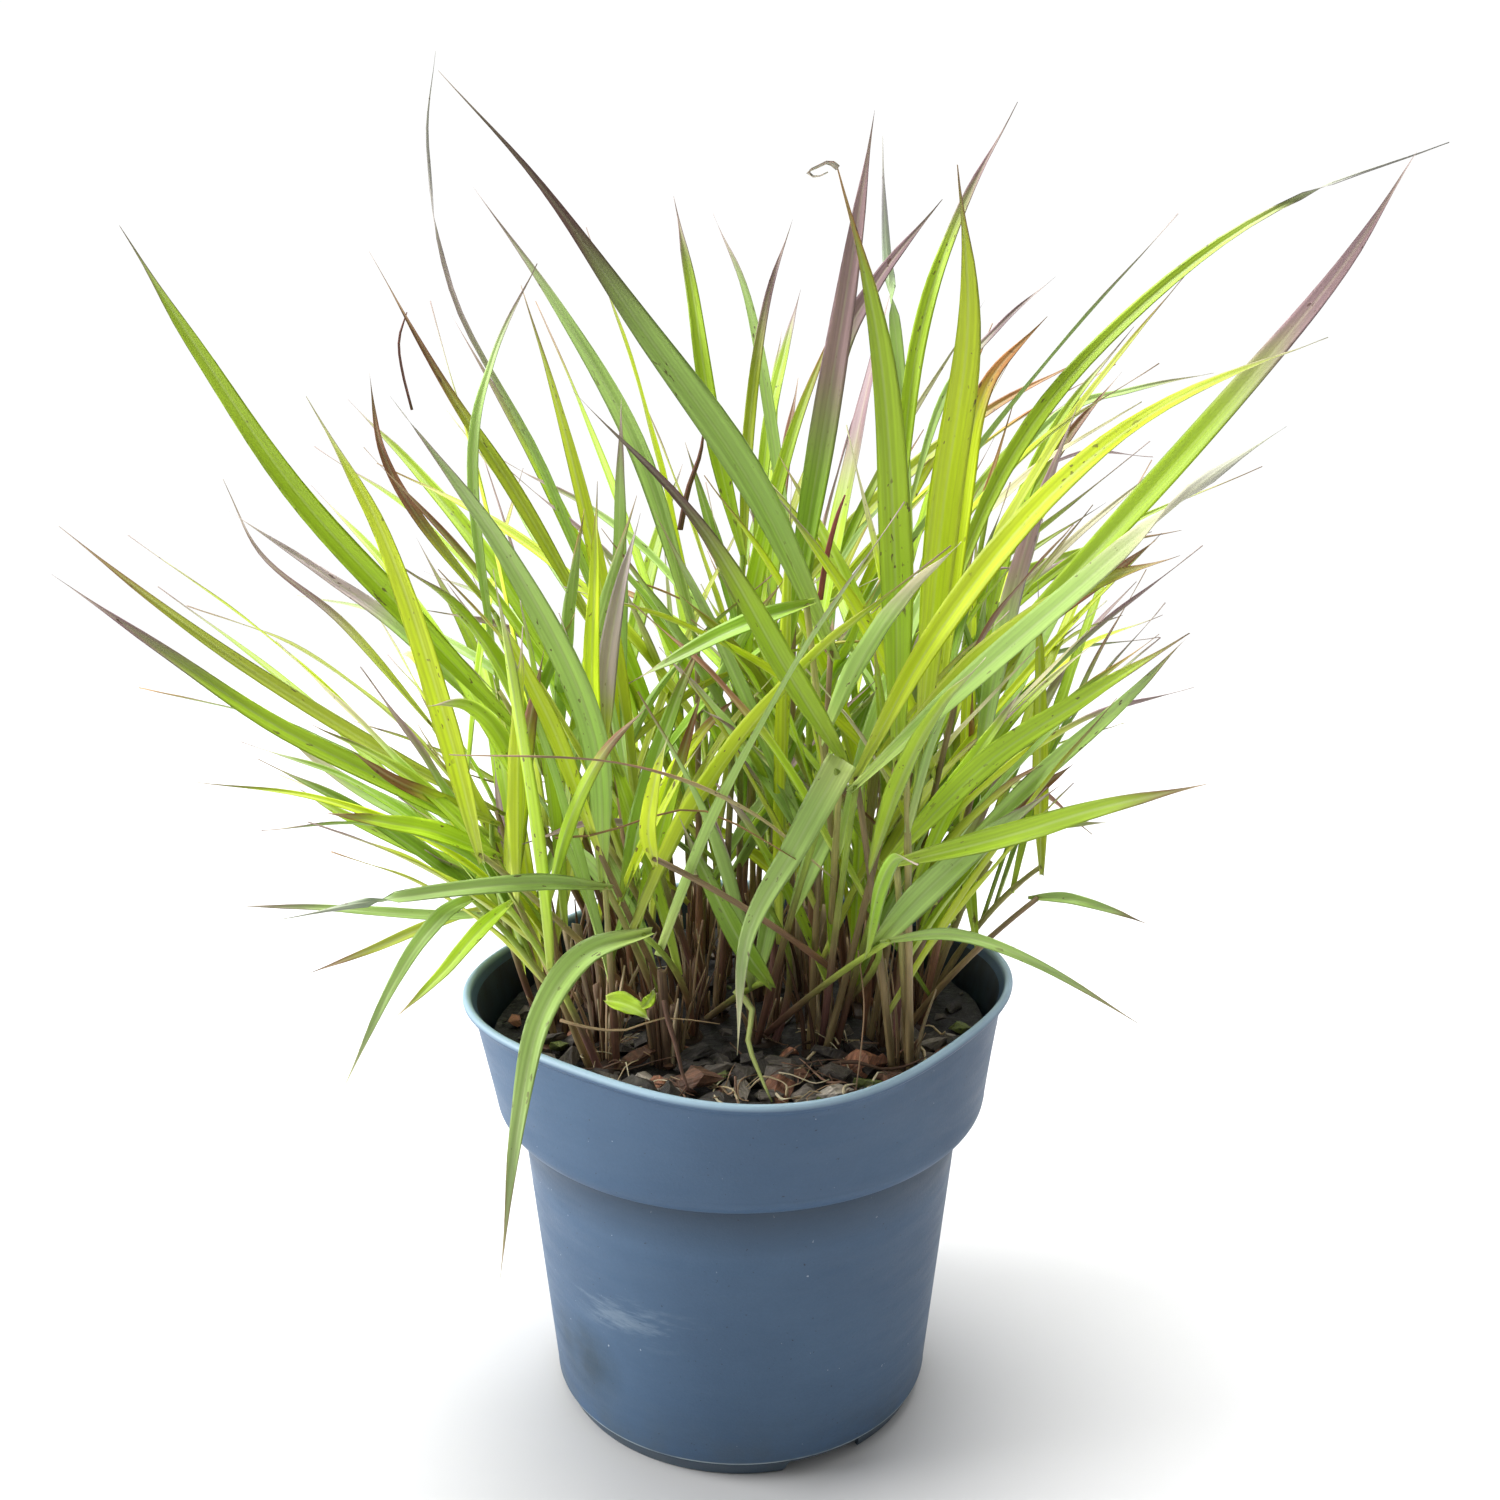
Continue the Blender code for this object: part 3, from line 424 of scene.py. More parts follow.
class Thicket:
    # What already grows, so that a new piece can be bent clear of it.

    def __init__(self):
        self.trees, self.lows, self.highs = [], [], []

    def hits(self, bm, skip=()):
        points = np.array([v.co for v in bm.verts])
        low, high = points.min(0), points.max(0)
        if not self.trees:
            return False
        lows, highs = np.array(self.lows), np.array(self.highs)
        near = np.nonzero((lows < high).all(1) & (highs > low).all(1))[0]
        tree = BVHTree.FromBMesh(bm)
        return any(self.trees[i].overlap(tree) for i in near if i not in skip)

    def add(self, bm):
        points = np.array([v.co for v in bm.verts])
        self.trees.append(BVHTree.FromBMesh(bm))
        self.lows.append(points.min(0))
        self.highs.append(points.max(0))
        bm.free()
        return len(self.trees) - 1


# Ways that a stem may sway to get clear: none, then six directions at each of three lengths.
sways = [raised(0)] + [heading(turn) * length * mm for length in (5, 11, 18) for turn in range(6)]


def growStem(thicket, foot, top, skip=()):
    # A stem from its foot to its top, swayed sideways until it is clear.
    for push in sways:
        bend = foot * 0.45 + top * 0.55 + push
        bend.z = foot.z + (top.z - foot.z) * 0.62
        path = (foot, bend, top)
        test = stemSolid(path, leaf["clearance"])
        blocked = thicket.hits(test, skip)
        test.free()
        if not blocked:
            return path
    return None


def nearRim(points, width):
    # True if a leaf's line comes nearer to the pot's wall than its own half width.
    for i in range(25):
        point = smooth(points, i / 24)
        if point.z < pot["height"] + 6 * mm:
            reach = math.hypot(point.x, point.y)
            edge = pot["rimRadius"] * rimSquare(pot["height"], math.atan2(point.y, point.x))
            if edge - 8 * mm < reach < edge + width * 0.75 + 1.5 * mm:
                return True
        if point.z < soil["top"] + 18 * mm and i > 3:
            if math.hypot(point.x, point.y) < pot["rimRadius"]:
                return True
    return False


def growLeaf(thicket, choices, width, stations, skip=()):
    # The first choice of line and facing that is clear of what grows already.
    for points, facing in choices:
        if nearRim(points, width):
            continue
        test = leafSolid(points, facing, width, stations, leaf["clearance"])
        blocked = thicket.hits(test, skip)
        test.free()
        if not blocked:
            return points, facing
    return None


# Leaves that give the plant its outline: the pixels they pass, from root to tip, their
# depth in millimetres at the root and at the tip (minus is nearer), and their width.
seenLeaves = [
    ("leftTall", [(522, 735), (420, 628), (300, 497), (195, 345), (118, 224)], -15, -100, 10.5),
    ("leftFarUpper", [(505, 815), (390, 755), (255, 672), (150, 598), (57, 525)], 10, 45, 7),
    ("leftFarLower", [(500, 842), (400, 788), (275, 725), (160, 648), (50, 573)], -20, -62, 8.6),
    ("leftPaleUnder", [(505, 862), (420, 820), (345, 780), (268, 722)], 40, 85, 8.5),
    ("leftBrownTip", [(500, 825), (440, 800), (395, 780), (347, 748)], -35, -75, 6.5),
    ("leftShort", [(500, 880), (420, 850), (345, 815), (296, 787)], 25, 45, 6.5),
    ("leftOlive", [(500, 858), (440, 833), (385, 822), (322, 812)], -48, -120, 8.4),
    ("leftFlat", [(500, 915), (430, 915), (330, 908), (217, 905)], -5, 0, 5),
    ("leftFlatFront", [(612, 888), (530, 883), (400, 897), (280, 920)], -68, -165, 7),
    ("leftLowPale", [(495, 905), (430, 925), (370, 950), (302, 976)], 10, 15, 5.5),
    ("leftDroop", [(478, 896), (440, 918), (395, 980), (338, 1100)], -50, -120, 7),
    ("leftDown", [(512, 902), (480, 930), (440, 975), (393, 1020)], -68, -140, 6.5),
    ("frontDroop", [(652, 932), (585, 955), (540, 1020), (517, 1130), (499, 1287)], -80, -146, 11),
    ("leftThread", [(440, 735), (345, 625), (262, 555), (222, 478)], 30, 95, 4.5),
    ("leftPurple", [(470, 700), (400, 628), (330, 578), (228, 510)], 15, 30, 7),
    ("leftBrownArc", [(600, 640), (520, 500), (445, 385), (368, 250)], 5, 10, 7),
    ("tallThread", [(620, 660), (540, 462), (455, 300), (428, 150), (436, 50)], 10, 25, 6),
    ("tallBroad", [(835, 660), (755, 490), (640, 325), (545, 190), (437, 68)], -45, -80, 13.8),
    ("greyArc", [(700, 650), (640, 455), (560, 310), (472, 185)], 35, 100, 9.5),
    ("crossing", [(500, 700), (473, 480), (492, 360), (537, 262)], 0, -10, 5),
    ("redTip", [(500, 620), (420, 520), (382, 450), (369, 372)], 20, 35, 5),
    ("leftBright", [(482, 862), (445, 720), (385, 540), (305, 395)], -72, -140, 9.4),
    ("leftMiddle", [(570, 690), (500, 575), (425, 480), (347, 398)], 45, 110, 8.5),
    ("bentBroad", [(604, 890), (592, 730), (510, 560), (388, 393)], -70, -135, 10.8),
    ("innerBright", [(600, 855), (560, 745), (525, 670), (498, 612)], -80, -125, 7),
    ("topSpearA", [(745, 565), (715, 440), (692, 290), (673, 195)], 15, 30, 8),
    ("topSpearB", [(795, 600), (772, 430), (748, 300), (713, 212)], 65, 140, 6),
    ("topSpearC", [(742, 600), (748, 440), (765, 310), (793, 218)], 50, 65, 5.5),
    ("topSpearD", [(752, 590), (768, 430), (785, 350), (801, 288)], 85, 170, 6.5),
    ("topPurple", [(785, 660), (822, 440), (850, 270), (875, 108)], 0, -25, 11.6),
    ("topBrownTip", [(897, 770), (895, 560), (880, 350), (838, 165)], -72, -165, 12.5),
    ("topNeedle", [(912, 560), (898, 360), (886, 240), (882, 135)], 45, 100, 6),
    ("topSidePurple", [(805, 600), (830, 385), (875, 285), (943, 198)], 25, 35, 10),
    ("topGreyTip", [(895, 560), (915, 360), (955, 225), (1018, 100)], 25, 30, 7.5),
    ("topBroad", [(920, 750), (942, 520), (968, 330), (958, 163)], -55, -150, 13),
    ("topThinSide", [(905, 520), (945, 395), (1000, 325), (1057, 275)], 75, 150, 4.4),
    ("orangeEdge", [(937, 720), (960, 510), (985, 390), (1048, 315)], -35, -22, 9.5),
    ("rightArc", [(925, 660), (1005, 468), (1115, 330), (1270, 212), (1452, 142)], -5, 62, 8),
    ("rightPurple", [(950, 705), (1110, 535), (1240, 390), (1340, 270), (1418, 150)], -30, -150, 9.8),
    ("rightYellow", [(852, 785), (930, 645), (1040, 505), (1165, 405), (1330, 335)], -82, -185, 9.4),
    ("rightThinUpper", [(985, 500), (1060, 415), (1130, 390), (1215, 372)], 70, 160, 5.2),
    ("rightGlaucous", [(850, 792), (960, 690), (1075, 590), (1190, 492), (1290, 425)], -92, -232, 8.6),
    ("rightOlive", [(900, 740), (985, 655), (1080, 590), (1180, 555)], -100, -190, 8.6),
    ("rightBrownish", [(1000, 660), (1060, 610), (1110, 575), (1160, 537)], -5, -15, 6),
    ("rightLowA", [(885, 865), (985, 765), (1090, 695), (1190, 632)], -62, -150, 9.6),
    ("rightLowB", [(950, 862), (1040, 775), (1120, 705), (1187, 638)], -35, -48, 7.5),
    ("rightFlat", [(888, 866), (1000, 838), (1100, 808), (1212, 783)], -78, -160, 9.2),
    ("rightFlatBack", [(935, 830), (1000, 828), (1060, 825), (1115, 822)], 25, 35, 5.5),
    ("rightUpright", [(1041, 875), (1040, 780), (1040, 680), (1038, 580)], 10, -5, 7.5),
    ("rightInner", [(900, 845), (950, 790), (990, 735), (1025, 685)], -70, -95, 7),
    ("rightBrownShort", [(990, 835), (1020, 805), (1045, 785), (1075, 763)], 0, -10, 6),
    ("rightDroop", [(880, 942), (955, 935), (1040, 965), (1152, 1032)], -88, -118, 5),
    ("rightDroopShort", [(1028, 898), (1065, 898), (1105, 908), (1150, 925)], -15, -30, 5),
    ("rightDiagonal", [(872, 950), (925, 893), (985, 840), (1060, 785)], -74, -86, 12),
    ("frontFolded", [(843, 760), (796, 846), (747, 938), (737, 1057)], -92, -100, 11.5),
    ("frontShort", [(772, 988), (742, 945), (708, 880), (678, 815)], -62, -88, 9),
    ("frontBrownTip", [(845, 765), (785, 668), (700, 525), (573, 390)], -78, -185, 10.5),
    ("frontLevel", [(815, 602), (750, 622), (690, 650), (628, 683)], -92, -150, 7.4),
    ("innerPurple", [(605, 745), (606, 680), (618, 600), (640, 512)], -45, -52, 9),
    ("innerUpright", [(606, 850), (592, 700), (594, 590), (597, 480)], -58, -68, 7),
    ("rightSpray", [(985, 640), (1015, 520), (1060, 420), (1135, 325)], 50, 110, 7),
    ("frontNewShoot", [(655, 865), (648, 830), (655, 780), (668, 735)], -84, -94, 6.5),
    ("backSpray", [(760, 640), (768, 490), (774, 390), (782, 330)], 76, 236, 7),
    ("backLeft", [(600, 640), (540, 540), (500, 470), (462, 420)], 70, 205, 7),
    ("backRight", [(900, 620), (960, 520), (1010, 450), (1075, 395)], 70, 200, 7.5),
    ("leftLowThin", [(545, 850), (520, 760), (470, 640), (415, 535)], 60, 120, 8),
]


def seenChoices(pixels, rootDepth, tipDepth):
    # The same leaf, as the photograph shows it, at other depths along the line of sight.
    facing = Vector((0, -0.85, 0.53)).normalized()
    shifts = [(0, 0)] + [(r, t) for t in (8, -8, 16, -16, 26, -26, 38, -38, 52) for r in (0, t * 0.5)]
    for rootShift, tipShift in shifts:
        yield seenLine(pixels, rootDepth + rootShift, tipDepth + tipShift), facing


def facingUp(flat, sideways):
    # How a leaf that leans out in one direction faces, turned a little sideways.
    return (raised(0.7) - flat * 0.7 + flat.cross(raised(1)) * sideways).normalized()


def archedLine(root, flat, lean, bend, length):
    # A line that leans more and more from its root on.
    points = [root]
    for i in range(1, 4):
        angle = lean + bend * i / 3
        away = flat * math.sin(angle) + raised(math.cos(angle))
        points.append(points[-1] + away * length / 3)
    return points


# Leaves that no pixel places: how they lean, rise and bend, by chance within limits.
freeLeaf = {
    "lengths": (150 * mm, 265 * mm),
    "widths": (5.5 * mm, 10 * mm),
    "leanInside": math.radians(9),
    "leanOutside": math.radians(44),
    "leanSpread": math.radians(13),
    "bend": (0.10, 0.42),
    "tries": 18,
    "reach": 226 * mm,  # the furthest that one comes forward or goes back
    "frontDepth": 30 * mm,  # in front of this, the picture itself gives the long leaves
    "frontSpread": 330,  # pixels from the clump's middle
    "middleRow": 760,
}


def freeChoices(dice, root):
    # Lines for a leaf that no pixel places, leaning out more the further out it grows.
    out = Vector((root.x, root.y, 0))
    reach = min(1.0, out.length / crown["ringRadius"])
    base = math.atan2(out.y, out.x)
    length = dice.uniform(*freeLeaf["lengths"])
    bend = dice.uniform(*freeLeaf["bend"])
    for _ in range(freeLeaf["tries"]):
        turn = base + dice.gauss(0, 0.5 + 1.2 * (1 - reach))
        lean = freeLeaf["leanInside"] + (freeLeaf["leanOutside"] - freeLeaf["leanInside"]) * reach**1.4
        lean = abs(lean + dice.gauss(0, 1) * freeLeaf["leanSpread"])
        flat = heading(turn)
        points = []
        for i in range(4):
            share = i / 3
            angle = lean + bend * share * (0.6 + lean)
            away = flat * math.sin(angle) + raised(math.cos(angle))
            points.append(root + away * (length * share))
        if abs(points[-1].y) > freeLeaf["reach"]:
            continue
        if not all(insideOutline(smooth(points, share)) for share in (0.6, 0.8, 1.0)):
            continue
        tipX, tipY = pixelOf(points[-1])
        fromMiddle = math.hypot(tipX - eye["middle"], tipY - freeLeaf["middleRow"])
        if points[-1].y < freeLeaf["frontDepth"] and fromMiddle > freeLeaf["frontSpread"]:
            continue
        yield points, facingUp(flat, dice.uniform(-1.3, 1.3))


# Shorter leaves that fill the middle of the clump.
innerLeaf = {
    "lengths": (95 * mm, 185 * mm),
    "widths": (6.5 * mm, 10.5 * mm),
    "lean": (math.radians(6), math.radians(40)),
    "bend": (0.15, 0.9),
    "tries": 10,
    "count": 54,
}


def innerChoices(dice, root):
    # Lines for a short leaf of the middle, which may lean to any side.
    length = dice.uniform(*innerLeaf["lengths"])
    bend = dice.uniform(*innerLeaf["bend"])
    for _ in range(innerLeaf["tries"]):
        turn, lean = dice.uniform(0, 2 * math.pi), dice.uniform(*innerLeaf["lean"])
        flat = heading(turn)
        points = archedLine(root, flat, lean, bend, length)
        if all(insideOutline(point) for point in points):
            yield points, facingUp(flat, dice.uniform(-0.9, 0.9))


def standCrowns(thicket, places):
    # Puts each crown in the thicket, with its cut stems, and returns the crowns' numbers there.
    homes = {}
    for number, (spot, isStub) in enumerate(places):
        radius = crown["stubRadius"] if isStub else crown["radius"]
        homes[number] = thicket.add(crownSolid(spot, radius))
        if isStub:
            for solid in stubSolids(number, spot):
                thicket.add(solid)
    return homes


def stemTo(thicket, homes, unused, points):
    # A clear stem from one of the nearest unused feet to a leaf's root.
    root = points[0]
    top = root + (smooth(points, 0.05) - root).normalized() * leaf["overlap"]
    nearest = sorted(unused, key=lambda spare: (spare[1].xy - root.xy * 0.72).length)[:7]
    for number, foot in nearest:
        path = growStem(thicket, foot, top, (homes[number],))
        if path:
            return number, foot, path
    return None


def growSeen(thicket, homes, unused):
    # The leaves that the picture places, each with its stem.
    stems, leaves = [], []
    for name, pixels, rootDepth, tipDepth, width in seenLeaves:
        for points, facing in seenChoices(pixels, rootDepth, tipDepth):
            found = stemTo(thicket, homes, unused, points)
            if found and growLeaf(thicket, [(points, facing)], width * mm, leaf["stations"]):
                number, foot, path = found
                unused.remove((number, foot))
                stems.append((number, path, name, thicket.add(stemSolid(path))))
                leaves.append((number, points, facing, width * mm, name))
                thicket.add(leafSolid(points, facing, width * mm, leaf["stations"]))
                break
        else:
            print("no clear place for", name)
    return stems, leaves


def growSpareStems(thicket, homes, unused, places, dice):
    # Stems on the feet that are left, drifting outwards.
    stems = []
    for number, foot in unused:
        spot = places[number][0]
        out = Vector((spot.x, spot.y, 0)) * dice.uniform(0.16, 0.4)
        drift = Vector((dice.gauss(0, 5), dice.gauss(0, 5), dice.uniform(55, 150)))
        path = growStem(thicket, foot, foot + out + drift * mm, (homes[number],))
        if path:
            stems.append((number, path, "free", thicket.add(stemSolid(path))))
    return stems


def growFree(thicket, stems, dice):
    # Leaves by chance: two on a spare stem, one more on each of the others.
    leaves = []
    for number, path, name, own in stems:
        for turn in range(leaf["perStem"] if name == "free" else 1):
            share = 0.95 if name == "free" and turn == 0 else dice.uniform(0.45, 0.85)
            root = stemAxis(path, share)
            width = dice.uniform(*freeLeaf["widths"])
            picked = growLeaf(thicket, freeChoices(dice, root), width, leaf["freeStations"], (own,))
            if picked:
                leaves.append((number, *picked, width, "free"))
                thicket.add(leafSolid(*picked, width, leaf["freeStations"]))
    return leaves


def growInner(thicket, stems, dice):
    # Short leaves lower down, on stems in a mixed order, until there are enough.
    leaves = []
    for number, path, name, own in dice.sample(stems, len(stems)):
        if len(leaves) == innerLeaf["count"]:
            break
        root = stemAxis(path, dice.uniform(0.3, 0.75))
        width = dice.uniform(*innerLeaf["widths"])
        picked = growLeaf(thicket, innerChoices(dice, root), width, leaf["freeStations"], (own,))
        if picked:
            leaves.append((number, *picked, width, "inner"))
            thicket.add(leafSolid(*picked, width, leaf["freeStations"]))
    return leaves


def plantPieces(places, fixed):
    # Every stem and leaf of the plant, with the crown that each belongs to.
    unused, thicket, dice = stemFeet(places), Thicket(), random.Random(leaf["seed"])
    for obj in fixed:
        bm = bmesh.new()
        bm.from_mesh(obj.data)
        thicket.add(bm)
    homes = standCrowns(thicket, places)
    stems, leaves = growSeen(thicket, homes, unused)
    stems += growSpareStems(thicket, homes, unused, places, dice)
    leaves += growFree(thicket, stems, dice)
    leaves += growInner(thicket, stems, dice)
    return stems, leaves


def linear(red, green, blue):
    # A colour as the eye sees it, 0 to 255, turned into light.
    parts = (red / 255, green / 255, blue / 255)
    return Vector([c / 12.92 if c < 0.04 else ((c + 0.055) / 1.055) ** 2.4 for c in parts])


def step(low, high, value):
    # Rises smoothly from 0 at low to 1 at high.
    share = min(1.0, max(0.0, (value - low) / (high - low)))
    return share * share * (3 - 2 * share)


class Growth:
    # Gathers the faces of one piece, with a colour and a place for each corner point.

    def __init__(self):
        self.points, self.faces, self.tones, self.places, self.mats = [], [], [], [], []

    def ring(self, points, tones, places):
        first = len(self.points)
        self.points += points
        self.tones += tones
        self.places += places
        return list(range(first, first + len(points)))

    def skin(self, rings, mat=0):
        # Faces from each ring to the next, and one over each end.
        for lower, upper in zip(rings, rings[1:]):
            for i, corner in enumerate(lower):
                after = (i + 1) % len(lower)
                self.faces.append((corner, lower[after], upper[after], upper[i]))
        self.faces += [tuple(rings[0]), tuple(rings[-1][::-1])]
        self.mats += [mat] * (len(self.faces) - len(self.mats))

    def gather(self, solid, tone, placeOf):
        # Takes over a loose solid, with one colour and a place worked out for each corner.
        first = len(self.points)
        solid.verts.index_update()
        for v in solid.verts:
            self.points.append(v.co.copy())
            self.tones.append(tone)
            self.places.append(placeOf(v.co))
        for face in solid.faces:
            self.faces.append(tuple(first + v.index for v in face.verts))
            self.mats.append(0)
        solid.free()

    def make(self, name, materials, slot, *replaced):
        mesh = bpy.data.meshes.new(name)
        mesh.from_pydata([tuple(p) for p in self.points], [], self.faces)
        tones = mesh.attributes.new("tone", "FLOAT_COLOR", "POINT")
        tones.data.foreach_set("color", [c for tone in self.tones for c in (*tone, 1.0)])
        places = mesh.attributes.new("place", "FLOAT_VECTOR", "POINT")
        places.data.foreach_set("vector", [c for place in self.places for c in place])
        for material in materials:
            mesh.materials.append(material)
        mesh.polygons.foreach_set("material_index", self.mats)
        mesh.update()
        fixNormals(mesh)
        mesh.shade_smooth()
        obj = bpy.data.objects.new(name, mesh)
        bpy.context.scene.collection.objects.link(obj)
        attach(obj, "root")
        if replaced:
            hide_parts(*replaced)
        return obj


def fixNormals(mesh):
    bm = bmesh.new()
    bm.from_mesh(mesh)
    bmesh.ops.recalc_face_normals(bm, faces=bm.faces)
    bm.to_mesh(mesh)
    bm.free()


# Materials. Each takes its colour from the piece's own tones and adds what nature adds.

socketNames = {
    "specular": "Specular IOR Level",
    "subsurface": "Subsurface Weight",
    "subScale": "Subsurface Scale",
    "sheen": "Sheen Weight",
}


class Nodes:
    # A short way to wire a material's nodes.

    def __init__(self, data, shader="Principled BSDF"):
        data.use_nodes = True
        self.data, self.tree = data, data.node_tree
        self.shader = self.tree.nodes[shader]

    def add(self, kind, **values):
        node = self.tree.nodes.new("ShaderNode" + kind)
        for key, value in values.items():
            if key in node.inputs.keys():
                node.inputs[key].default_value = value
            else:
                setattr(node, key, value)
        return node

    def link(self, source, target):
        self.tree.links.new(source, target)

    def attribute(self, name, output):
        return self.add("Attribute", attribute_name=name).outputs[output]

    def where(self):
        return self.add("TexCoord").outputs["Object"]

    def axes(self, vector):
        node = self.add("SeparateXYZ")
        self.link(vector, node.inputs["Vector"])
        return node.outputs

    def scaled(self, vector, scale):
        node = self.add("Mapping")
        node.inputs["Scale"].default_value = scale
        self.link(vector, node.inputs["Vector"])
        return node.outputs["Vector"]

    def noise(self, vector, scale, detail=3.0, rough=0.55):
        node = self.add("TexNoise", Scale=scale, Detail=detail, Roughness=rough)
        self.link(vector, node.inputs["Vector"])
        return node.outputs["Fac"]

    def between(self, value, low, high, toLow=0.0, toHigh=1.0):
        node = self.add("MapRange")
        for key, number in (("From Min", low), ("From Max", high), ("To Min", toLow), ("To Max", toHigh)):
            node.inputs[key].default_value = number
        self.link(value, node.inputs["Value"])
        return node.outputs["Result"]

    def math(self, operation, *values):
        node = self.add("Math", operation=operation)
        for index, value in enumerate(values):
            if isinstance(value, (int, float)):
                node.inputs[index].default_value = value
            else:
                self.link(value, node.inputs[index])
        return node.outputs["Value"]

    def times(self, first, second):
        return self.math("MULTIPLY", first, second)

    def vector(self, operation, vector, value=None):
        node = self.add("VectorMath", operation=operation)
        self.link(vector, node.inputs[0])
        if value:
            node.inputs[1].default_value = value
        return node.outputs["Value" if operation == "LENGTH" else "Vector"]

    def blend(self, factor, first, second, mode="MIX"):
        node = self.add("Mix", data_type="RGBA", blend_type=mode)
        for socket, value in ((node.inputs[0], factor), (node.inputs[6], first), (node.inputs[7], second)):
            if isinstance(value, (int, float)):
                socket.default_value = value
            elif isinstance(value, Vector):
                socket.default_value = (*value, 1)
            else:
                self.link(value, socket)
        return node.outputs[2]

    def bump(self, height, strength, distance):
        node = self.add("Bump", Strength=strength, Distance=distance)
        self.link(height, node.inputs["Height"])
        self.link(node.outputs["Normal"], self.shader.inputs["Normal"])

    def finish(self, colour, **values):
        self.link(colour, self.shader.inputs["Base Color"])
        for key, value in values.items():
            socket = self.shader.inputs[socketNames.get(key, key.capitalize())]
            if isinstance(value, bpy.types.NodeSocket):
                self.link(value, socket)
            else:
                socket.default_value = value
        return self.data


def newMaterial(name):
    return Nodes(bpy.data.materials.new(name))


def bladeMaterial():
    # Fine parallel veins, a pale midrib, and small brown flecks here and there.
    n = newMaterial("switchgrass blade")
    place = n.attribute("place", "Vector")  # metres along, metres across, chance
    tone = n.attribute("tone", "Color")
    across = n.axes(place)["Y"]
    veins = n.noise(n.scaled(place, (3.0, 900.0, 40.0)), 1.0, 1.0)
    streaks = n.noise(n.scaled(place, (14.0, 330.0, 70.0)), 1.0, 3.0)
    colour = n.blend(0.45, tone, n.between(veins, 0.3, 0.7, 0.66, 1.2), "MULTIPLY")
    colour = n.blend(0.55, colour, n.between(streaks, 0.3, 0.72, 0.68, 1.2), "MULTIPLY")
    rib = n.between(n.math("ABSOLUTE", across), 0.2 * mm, 0.7 * mm, 1.0, 0.0)
    colour = n.blend(n.times(rib, 0.16), colour, linear(214, 220, 176))
    fleck = n.noise(n.scaled(place, (210.0, 560.0, 130.0)), 1.0, 2.0)
    sparse = n.noise(n.scaled(place, (22.0, 90.0, 50.0)), 1.0, 1.0)
    mark = n.times(n.between(fleck, 0.66, 0.69), n.between(sparse, 0.48, 0.58))
    colour = n.blend(n.times(mark, 0.8), colour, linear(84, 52, 40))
    ridges = n.math("SINE", n.times(across, 2 * math.pi / (1.2 * mm)))
    n.bump(n.math("ADD", ridges, n.times(rib, -2.0)), 0.35, 0.05 * mm)
    rough = n.between(streaks, 0.3, 0.7, 0.40, 0.58)
    return n.finish(colour, roughness=rough, specular=0.42, sheen=0.06)


def stalkMaterial(name, streak, roughness):
    # Long fibres run up the stem over its tone.
    n = newMaterial(name)
    place = n.attribute("place", "Vector")
    fibres = n.noise(n.scaled(place, (26.0, 5.5, 60.0)), 1.0, 4.0)
    blotches = n.noise(n.scaled(place, (90.0, 1.4, 30.0)), 1.0, 3.0)
    lighter = n.between(fibres, 0.3, 0.7, 0.45, 1.35)
    colour = n.blend(streak, n.attribute("tone", "Color"), lighter, "MULTIPLY")
    colour = n.blend(streak * 0.8, colour, n.between(blotches, 0.35, 0.7, 0.6, 1.2), "MULTIPLY")
    n.bump(fibres, 0.5, 0.4 * mm)
    return n.finish(colour, roughness=roughness, specular=0.35, subsurface=0.05, subScale=1 * mm)


def barkMaterial():
    # Weathered bark: dark and fibrous, with rusty, grey and mossy chips among the rest.
    n = newMaterial("weathered bark")
    where = n.where()
    place = n.attribute("place", "Vector")  # along the chip, across it, its chance
    grain = n.noise(n.scaled(place, (110.0, 700.0, 9.0)), 1.0, 5.0, 0.62)
    crust = n.noise(where, 420.0, 6.0, 0.65)
    colour = n.blend(0.8, n.attribute("tone", "Color"), n.between(grain, 0.32, 0.70, 0.40, 1.6), "MULTIPLY")
    colour = n.blend(0.6, colour, n.between(crust, 0.34, 0.66, 0.45, 1.5), "MULTIPLY")
    dust = n.between(n.noise(where, 160.0, 5.0), 0.58, 0.72, 0.0, 0.2)
    colour = n.blend(dust, colour, linear(150, 142, 132))
    n.bump(n.math("ADD", n.times(grain, 1.4), crust), 0.9, 1.1 * mm)
    return n.finish(colour, roughness=n.between(crust, 0.3, 0.7, 0.38, 0.8), specular=0.55)


def soilMaterial():
    # Dark moist crumbs, seen only through gaps in the bark and the drainage holes.
    n = newMaterial("moist potting soil")
    where = n.where()
    crumbs = n.noise(where, 300.0, 7.0, 0.7)
    clods = n.noise(where, 90.0, 4.0)
    colour = n.blend(n.between(crumbs, 0.35, 0.66), linear(20, 16, 13), linear(66, 52, 40))
    colour = n.blend(0.6, colour, n.between(clods, 0.3, 0.7, 0.5, 1.3), "MULTIPLY")
    n.bump(n.math("ADD", crumbs, clods), 1.0, 1.6 * mm)
    return n.finish(colour, roughness=0.93, specular=0.25)


def shadedInsideMaterial():
    # The pot's inside: the same plastic, wetted and stained by the soil, and darkened further as painted
    # shade.
    n = newMaterial("soil stained and shaded pot inside")
    where = n.where()
    stain = n.noise(n.scaled(where, (1.0, 1.0, 0.4)), 70.0, 6.0, 0.65)
    # Both colours lie well below the outside's plastic: partly soil stain, partly painted shade.
    colour = n.blend(n.between(stain, 0.34, 0.62), linear(20, 27, 33), linear(36, 54, 68))
    speck = n.noise(where, 420.0, 2.0)
    colour = n.blend(n.between(speck, 0.66, 0.70, 0.0, 0.8), colour, linear(24, 20, 17))
    n.bump(stain, 0.2, 0.8 * mm)
    return n.finish(colour, roughness=0.5, specular=0.45)


